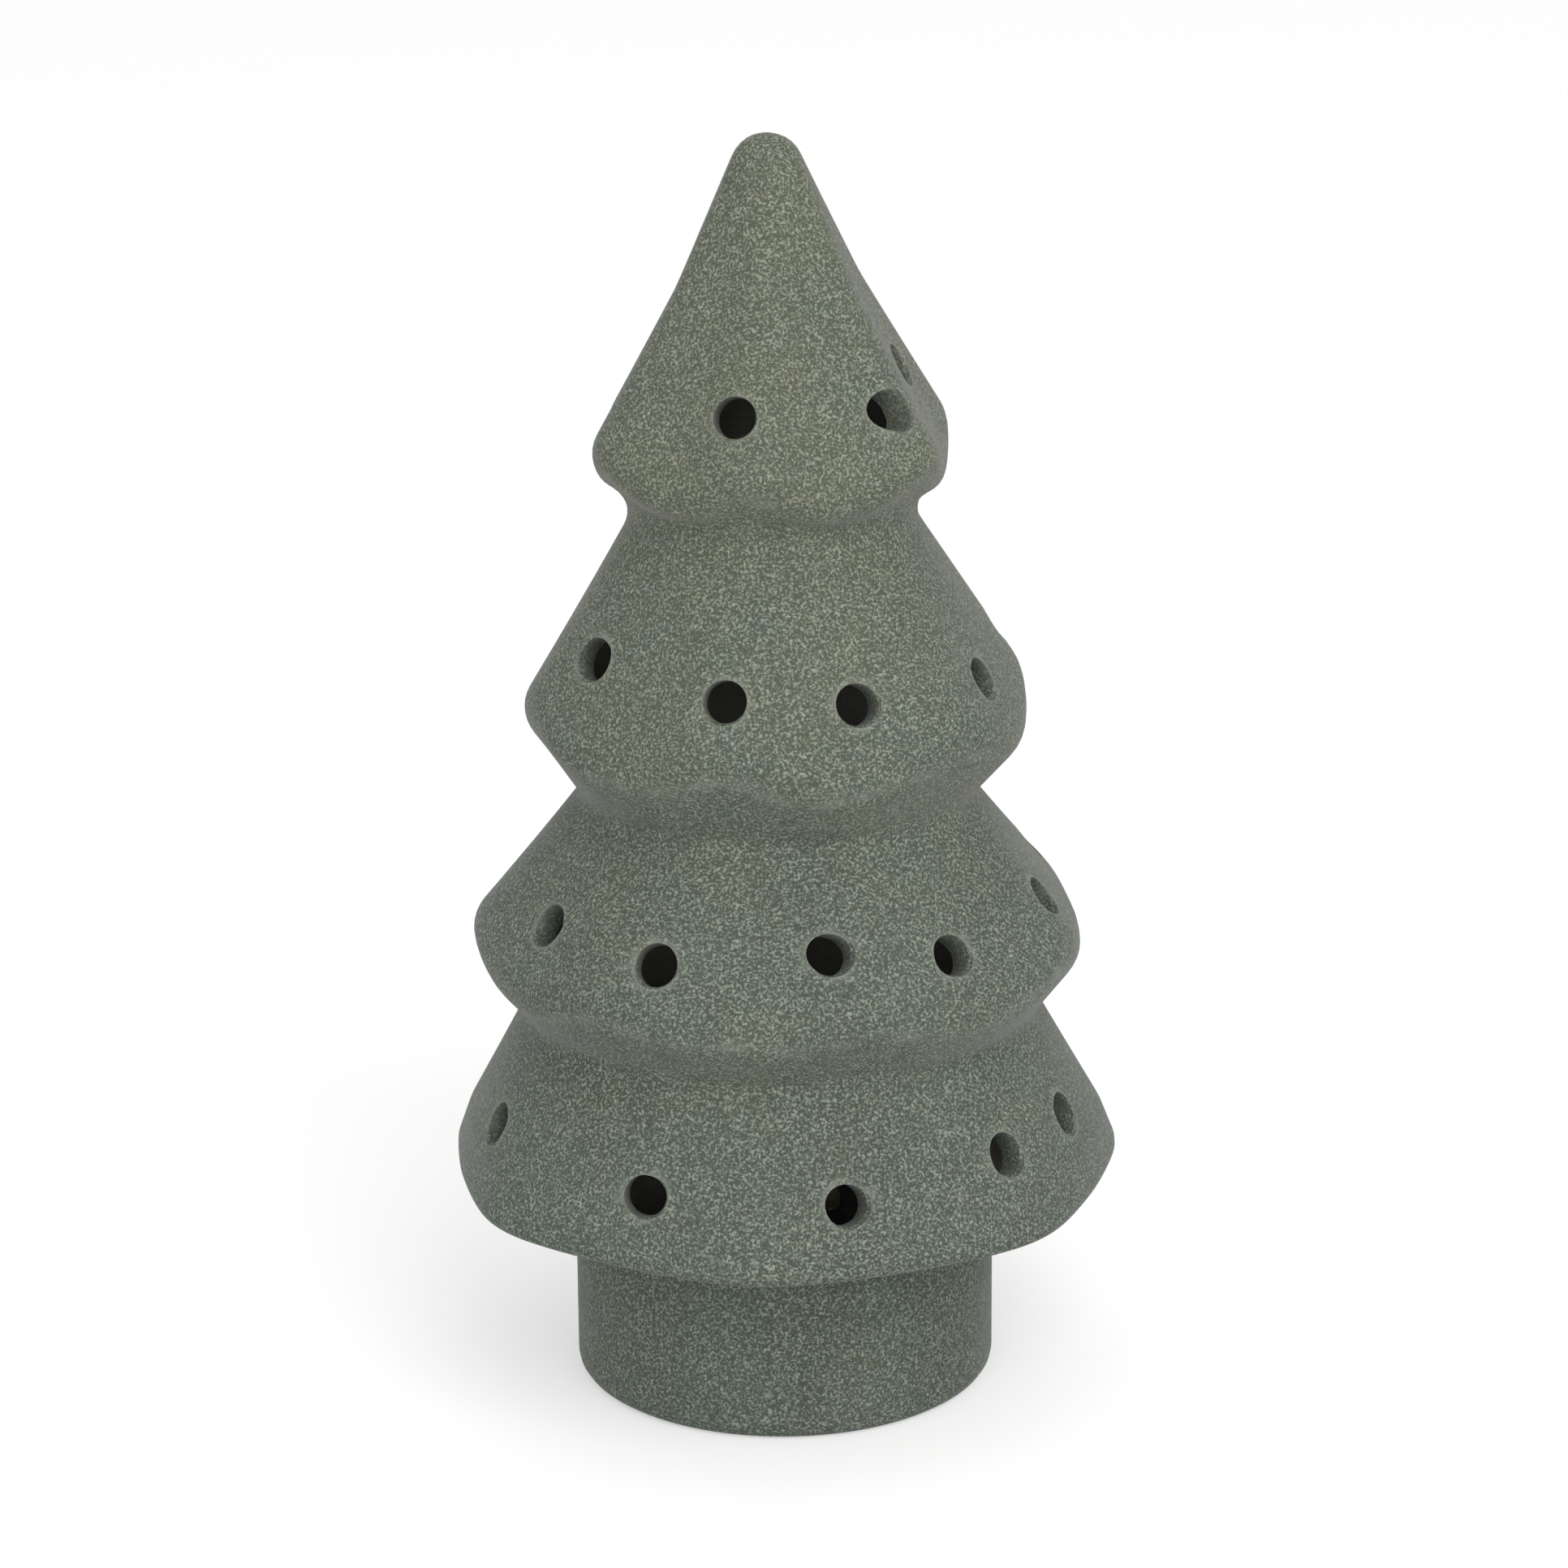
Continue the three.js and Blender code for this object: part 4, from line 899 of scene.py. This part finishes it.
# The contacts are stamped from nickel-plated strip: a plate with rounded corners at each end of the bay, and a
# narrow tail up through the bay's roof. The spring on the minus side is wound from plated wire.
STRIP_THICKNESS = 0.0004
PLATE_SIDES, PLATE_HEIGHTS = (-0.002, 0.005), (0.0056, 0.0126)
TAIL_SIDES, TAIL_HEIGHTS = (0.0005, 0.0025), (0.0091, 0.0165)
CELL_AXIS_HEIGHT = 0.0091
SPRING_TURNS, SPRING_RADIUS, SPRING_WIRE, SPRING_STEPS = 2.5, 0.0032, 0.0003, 100
SPRING_LENGTH, SPRING_START_X = 0.003, -0.00975
NICKEL = grained(
    "nickel_strip", (0.62, 0.585, 0.49), (0.72, 0.69, 0.6), gloss=(0.22, 0.38), scale=3000, depth=0.00001,
    metallic=1.0, stretch=(1, 1, 0.06),
)
for name, x in (("contact_plus", CONTACT_PLUS_X), ("contact_minus", CONTACT_MINUS_X)):
    across = (x, x + STRIP_THICKNESS)
    plate = block(name + "_plate", across, PLATE_SIDES, PLATE_HEIGHTS, edge=0.00012, segments=2)
    joined_to(plate, block("tail", across, TAIL_SIDES, TAIL_HEIGHTS, edge=0.0001, segments=2))
    placed(plate, NICKEL, "light_unit", name)


def swept(name, radius, start, moves, around=14):
    """A round rod or wire: a circle that each move in turn carries on, closed at both ends."""
    shape = bmesh.new()
    bmesh.ops.create_circle(shape, segments=around, radius=radius, matrix=start)
    edges = list(shape.edges)
    first = list(edges)
    for move in moves:
        made = bmesh.ops.extrude_edge_only(shape, edges=edges)["geom"]
        edges = [e for e in made if isinstance(e, bmesh.types.BMEdge) and all(v in made for v in e.verts)]
        bmesh.ops.transform(shape, matrix=move, verts=[v for v in made if isinstance(v, bmesh.types.BMVert)])
    for ring in (first, edges):
        bmesh.ops.edgeloop_fill(shape, edges=ring)
    bmesh.ops.recalc_face_normals(shape, faces=shape.faces)
    for face in shape.faces:
        face.smooth = True
    return object_of(name, shape, sharp=50)


def turned_by(angle, axis, centre):
    """A turn round an axis through a place."""
    return Matrix.Translation(centre) @ Matrix.Rotation(angle, 4, axis) @ Matrix.Translation(-Vector(centre))


coil_axis = (0, BAY_MIDDLE, CELL_AXIS_HEIGHT)
coil_step = turned_by(2 * math.pi * SPRING_TURNS / SPRING_STEPS, "X", coil_axis)
coil_pitch = Matrix.Translation(((SPRING_LENGTH - 2 * SPRING_WIRE) / SPRING_STEPS, 0, 0))
coil_start = Matrix.Translation((SPRING_START_X, BAY_MIDDLE + SPRING_RADIUS, CELL_AXIS_HEIGHT))
spring = swept("contact_coil", SPRING_WIRE, coil_start, [coil_pitch @ coil_step] * SPRING_STEPS)
placed(spring, NICKEL, "light_unit", "contact_spring")


# The slide switch is a small grey body that stands on the housing's plate. Its grooved knob passes through
# the slot in the plate, where a fingernail moves it.
BODY_HALF, BODY_BOTTOM, BODY_TOP = (0.0042, 0.0018), 0.004, 0.0074
KNOB_SIDES, KNOB_HALF, KNOB_BOTTOM, KNOB_TOP = (-0.0027, -0.0003), 0.0008, 0.0007, 0.0037
GREY_PLASTIC = grained(
    "grey_plastic", (0.066, 0.07, 0.075), (0.08, 0.083, 0.09), gloss=(0.38, 0.52), scale=7000, depth=0.00001,
)
switch = block(
    "slide_switch_body", (-BODY_HALF[0], BODY_HALF[0]), (SWITCH_Y - BODY_HALF[1], SWITCH_Y + BODY_HALF[1]),
    (BODY_BOTTOM, BODY_TOP), edge=0.00025,
)
placed(switch, GREY_PLASTIC, "light_unit", "switch_body")
knob = block(
    "slide_switch_knob", KNOB_SIDES, (SWITCH_Y - KNOB_HALF, SWITCH_Y + KNOB_HALF), (KNOB_BOTTOM, KNOB_TOP),
    edge=0.0002,
)
for x in (-0.0019, -0.0011):
    cut_from(knob, block(
        "groove", (x - 0.0002, x + 0.0002), (SWITCH_Y - 2 * KNOB_HALF, SWITCH_Y + 2 * KNOB_HALF),
        (0, KNOB_BOTTOM + 0.0002), edge=0.00008, segments=2,
    ))
placed(knob, GREY_PLASTIC, "knob", "switch_knob")


# Two short wires, one red and one black, bring the switch's current up to the board. Each rises, leans over
# in an easy bend and rises again.
RED_WIRE = grained(
    "red_insulation", (0.33, 0.014, 0.01), (0.42, 0.022, 0.016),
    gloss=(0.34, 0.48), scale=5000, depth=0.00001,
)
BLACK_WIRE = grained(
    "black_insulation", (0.01, 0.01, 0.011), (0.017, 0.017, 0.018),
    gloss=(0.34, 0.48), scale=5000, depth=0.00001,
)
WIRE_RADIUS, WIRE_BOTTOM, WIRE_TOP = 0.0005, 0.0077, 0.0165
WIRE_BEND, WIRE_OFFSET, WIRE_STEPS = 0.002, 0.00146, 14
bend_angle = math.acos(1 - WIRE_OFFSET / (2 * WIRE_BEND))
wire_run = (WIRE_TOP - WIRE_BOTTOM - 2 * WIRE_BEND * math.sin(bend_angle)) / 2
low_bend = (0, SWITCH_Y + WIRE_BEND, WIRE_BOTTOM + wire_run)
high_bend = (0, SWITCH_Y + WIRE_OFFSET - WIRE_BEND, WIRE_TOP - wire_run)
wire_moves = (
    [Matrix.Translation((0, 0, wire_run))]
    + [turned_by(-bend_angle / WIRE_STEPS, "X", low_bend)] * WIRE_STEPS
    + [turned_by(bend_angle / WIRE_STEPS, "X", high_bend)] * WIRE_STEPS
    + [Matrix.Translation((0, 0, wire_run))]
)
for name, x, material, slot in (
    ("switch_wire_red", -0.002, RED_WIRE, "red_wire"), ("switch_wire_black", 0.002, BLACK_WIRE, "black_wire"),
):
    wire = swept(name + "_lead", WIRE_RADIUS, Matrix.Translation((x, SWITCH_Y, WIRE_BOTTOM)), wire_moves)
    placed(wire, material, "light_unit", name)


# Pan-headed steel screws with a cross recess, zinc plated: three hold the cover down, and a shorter one holds
# the battery door from below.
ZINC = grained(
    "zinc_plate", (0.5, 0.51, 0.52), (0.63, 0.64, 0.65),
    gloss=(0.26, 0.42), scale=5000, depth=0.00001, metallic=1.0,
)
SCREW_RADIUS, HEAD_RADIUS, HEAD_HEIGHT = 0.0009, 0.0018, 0.001
DOOR_SCREW_LENGTH, COVER_SCREW_LENGTH, COVER_HEAD_FACE = 0.006, 0.007, 0.0239
CROSS_WIDE, CROSS_NARROW, CROSS_DEPTH = 0.0017, 0.0007, 0.0012


def screw(name, at, head_face, length, way):
    """A screw whose tip is above its head where way is 1, and below it where way is -1."""
    outline = rounded(
        [(0, 0, 0), (HEAD_RADIUS, 0, 0.0005), (HEAD_RADIUS, HEAD_HEIGHT, 0.0001),
         (SCREW_RADIUS, HEAD_HEIGHT, 0.0001), (SCREW_RADIUS, length - SCREW_RADIUS, 0.0002), (0, length, 0)],
        step=0.0003,
    )
    place = Matrix.Translation((*at, head_face)) @ Matrix.Diagonal((1, 1, way, 1))
    made = spun(outline, around=40)
    made.transform(place)
    bmesh.ops.recalc_face_normals(made, faces=made.faces)
    made = object_of(name, made)
    for turn in (0, 90):
        slot = bmesh.new()
        bmesh.ops.create_cone(
            slot, cap_ends=True, segments=4, radius1=CROSS_WIDE, radius2=CROSS_NARROW, depth=CROSS_DEPTH,
            matrix=place @ Matrix.Rotation(math.radians(turn), 4, "Z") @ Matrix.Diagonal((0.9, 0.22, 1, 1))
            @ Matrix.Rotation(math.radians(45), 4, "Z"),
        )
        bmesh.ops.recalc_face_normals(slot, faces=slot.faces)
        cut_from(made, object_of("slot", slot))
    return made


door_screw = screw("captive_door_screw", DOOR_SCREW_PLACE, PLATE_BOTTOM, DOOR_SCREW_LENGTH, 1)
placed(door_screw, ZINC, "door", "door_screw")
for k, at in enumerate(SCREW_PLACES):
    cover_screw = screw(f"cover_screw_{k + 1}_pan_head", at, COVER_HEAD_FACE, COVER_SCREW_LENGTH, -1)
    placed(cover_screw, ZINC, "light_unit", f"cover_screw_{k + 1}")


# Three button cells lie in a row in the bay. Each is a polished steel can with rolled edges, its minus cap
# set into the can on a dark insulating ring.
CAN = grained(
    "polished_can", (0.6, 0.61, 0.62), (0.7, 0.71, 0.72), gloss=(0.14, 0.26), scale=2600, depth=0.000004,
    metallic=1.0, stretch=(0.08, 1, 1),
)
INSULATOR = grained(
    "insulating_ring", (0.02, 0.03, 0.03), (0.035, 0.045, 0.045),
    gloss=(0.4, 0.55), scale=6000, depth=0.00001,
)
CELL_RADIUS, CELL_THICKNESS, CAP_RADIUS, CAP_HEIGHT = 0.0058, 0.0054, 0.0045, 0.0004
FIRST_CELL_X, CELL_PITCH = -0.00675, 0.0057
SEAT_RADIUS, SEAT_DEPTH, CAP_DEPTH = CAP_RADIUS + 0.0004, 0.0008, 0.0007
RING_INSIDE, RING_OUTSIDE, RING_FACE = CAP_RADIUS + 0.00002, CAP_RADIUS + 0.00038, 0.0003
CELL_PARTS = (
    ("can", CAN, "cell_steel", False, [
        (SEAT_RADIUS, SEAT_DEPTH, 0), (SEAT_RADIUS, CAP_HEIGHT, 0.0001), (CELL_RADIUS, CAP_HEIGHT, 0.0004),
        (CELL_RADIUS, CELL_THICKNESS, 0.0003), (0, CELL_THICKNESS, 0), (0, SEAT_DEPTH, 0),
    ]),
    ("cap", CAN, "cell_steel", False, [
        (0, CAP_DEPTH, 0), (0, 0, 0), (CAP_RADIUS, 0, 0.0003), (CAP_RADIUS, CAP_DEPTH, 0),
    ]),
    ("ring", INSULATOR, "black_plastic", True, [
        (RING_INSIDE, CAP_DEPTH, 0), (RING_INSIDE, RING_FACE, 0), (RING_OUTSIDE, RING_FACE, 0),
        (RING_OUTSIDE, CAP_DEPTH, 0),
    ]),
)
for k in range(3):
    middle = Matrix.Translation((FIRST_CELL_X + k * CELL_PITCH, BAY_MIDDLE, CELL_AXIS_HEIGHT))
    for part, material, slot, closed, corners in CELL_PARTS:
        shape = spun(rounded(corners, step=0.0004), around=72, closed=closed)
        shape.transform(middle @ Matrix.Rotation(math.radians(90), 4, "Y"))
        piece = object_of(f"button_cell_{k + 1}_{part}", shape)
        placed(piece, material, "light_unit", f"button_cell_{k + 1}")


# Each lamp is a 5 mm warm white one: a slightly milky epoxy lens with a flange, cast round a lead frame of
# two plated posts, one of which holds the cup with the phosphor.
PALE_AMBER = (0.9, 0.8, 0.55, 1)
CLEAR_AMBER = (0.95, 0.88, 0.68, 1)
LENS_RADIUS, LENS_FLANGE, LENS_BOTTOM, LENS_TOP = 0.0025, 0.0029, 0.0183, 0.0269
FLANGE_TOP = LENS_BOTTOM + 0.001
POST_SIDE, POST_BOTTOM, POST_HALF, ANVIL_TOP = 0.0007, 0.0187, 0.0003, 0.0226
PHOSPHOR_TOP, PHOSPHOR_RADIUS = 0.0231, 0.0005
lens, nodes, links, surface = material_of("warm_epoxy")
where = nodes.new("ShaderNodeTexCoord").outputs["Object"]
clear = ramp(nodes, links, noise_at(nodes, links, where, 900, 2), 0.3, 0.7)
links.new(mixed(nodes, links, clear, PALE_AMBER, CLEAR_AMBER), surface.inputs["Base Color"])
lens_gloss = ramp(nodes, links, noise_at(nodes, links, where, 3000, 2), 0.3, 0.7, 0.08, 0.16)
links.new(lens_gloss, surface.inputs["Roughness"])
surface.inputs["Transmission Weight"].default_value = 0.75
surface.inputs["IOR"].default_value = 1.5
PHOSPHOR = grained(
    "phosphor", (0.8, 0.5, 0.06), (0.86, 0.58, 0.1), gloss=(0.5, 0.65), scale=6000, depth=0.00001,
)
lens_outline = rounded(
    [(0, LENS_BOTTOM, 0), (LENS_FLANGE, LENS_BOTTOM, 0.0002), (LENS_FLANGE, FLANGE_TOP, 0.0002),
     (LENS_RADIUS, FLANGE_TOP, 0.0001), (LENS_RADIUS, LENS_TOP, 0.00248), (0, LENS_TOP, 0)],
    step=0.0004,
)
phosphor_outline = rounded(
    [(0, ANVIL_TOP, 0), (PHOSPHOR_RADIUS, ANVIL_TOP, 0.0001),
     (PHOSPHOR_RADIUS - 0.0001, PHOSPHOR_TOP, 0.0002), (0, PHOSPHOR_TOP, 0)],
    step=0.0002,
)
for k, (x, y) in enumerate(LAMP_PLACES):
    name = f"led_{k + 1}"
    placed(rod(name + "_lens", lens_outline, around=64, at=(x, y)), lens, "light_unit", name)
    for part, middle, half, top in (
        ("anvil", x - POST_SIDE, 0.0005, ANVIL_TOP), ("post", x + POST_SIDE, POST_HALF, 0.0222),
    ):
        post = block(
            f"{name}_{part}", (middle - half, middle + half), (y - POST_HALF, y + POST_HALF),
            (POST_BOTTOM, top), edge=0.0001, segments=2,
        )
        placed(post, NICKEL, "light_unit", name)
    glow = rod(name + "_phosphor", phosphor_outline, around=24, at=(x - POST_SIDE, y))
    placed(glow, PHOSPHOR, "light_unit", name)
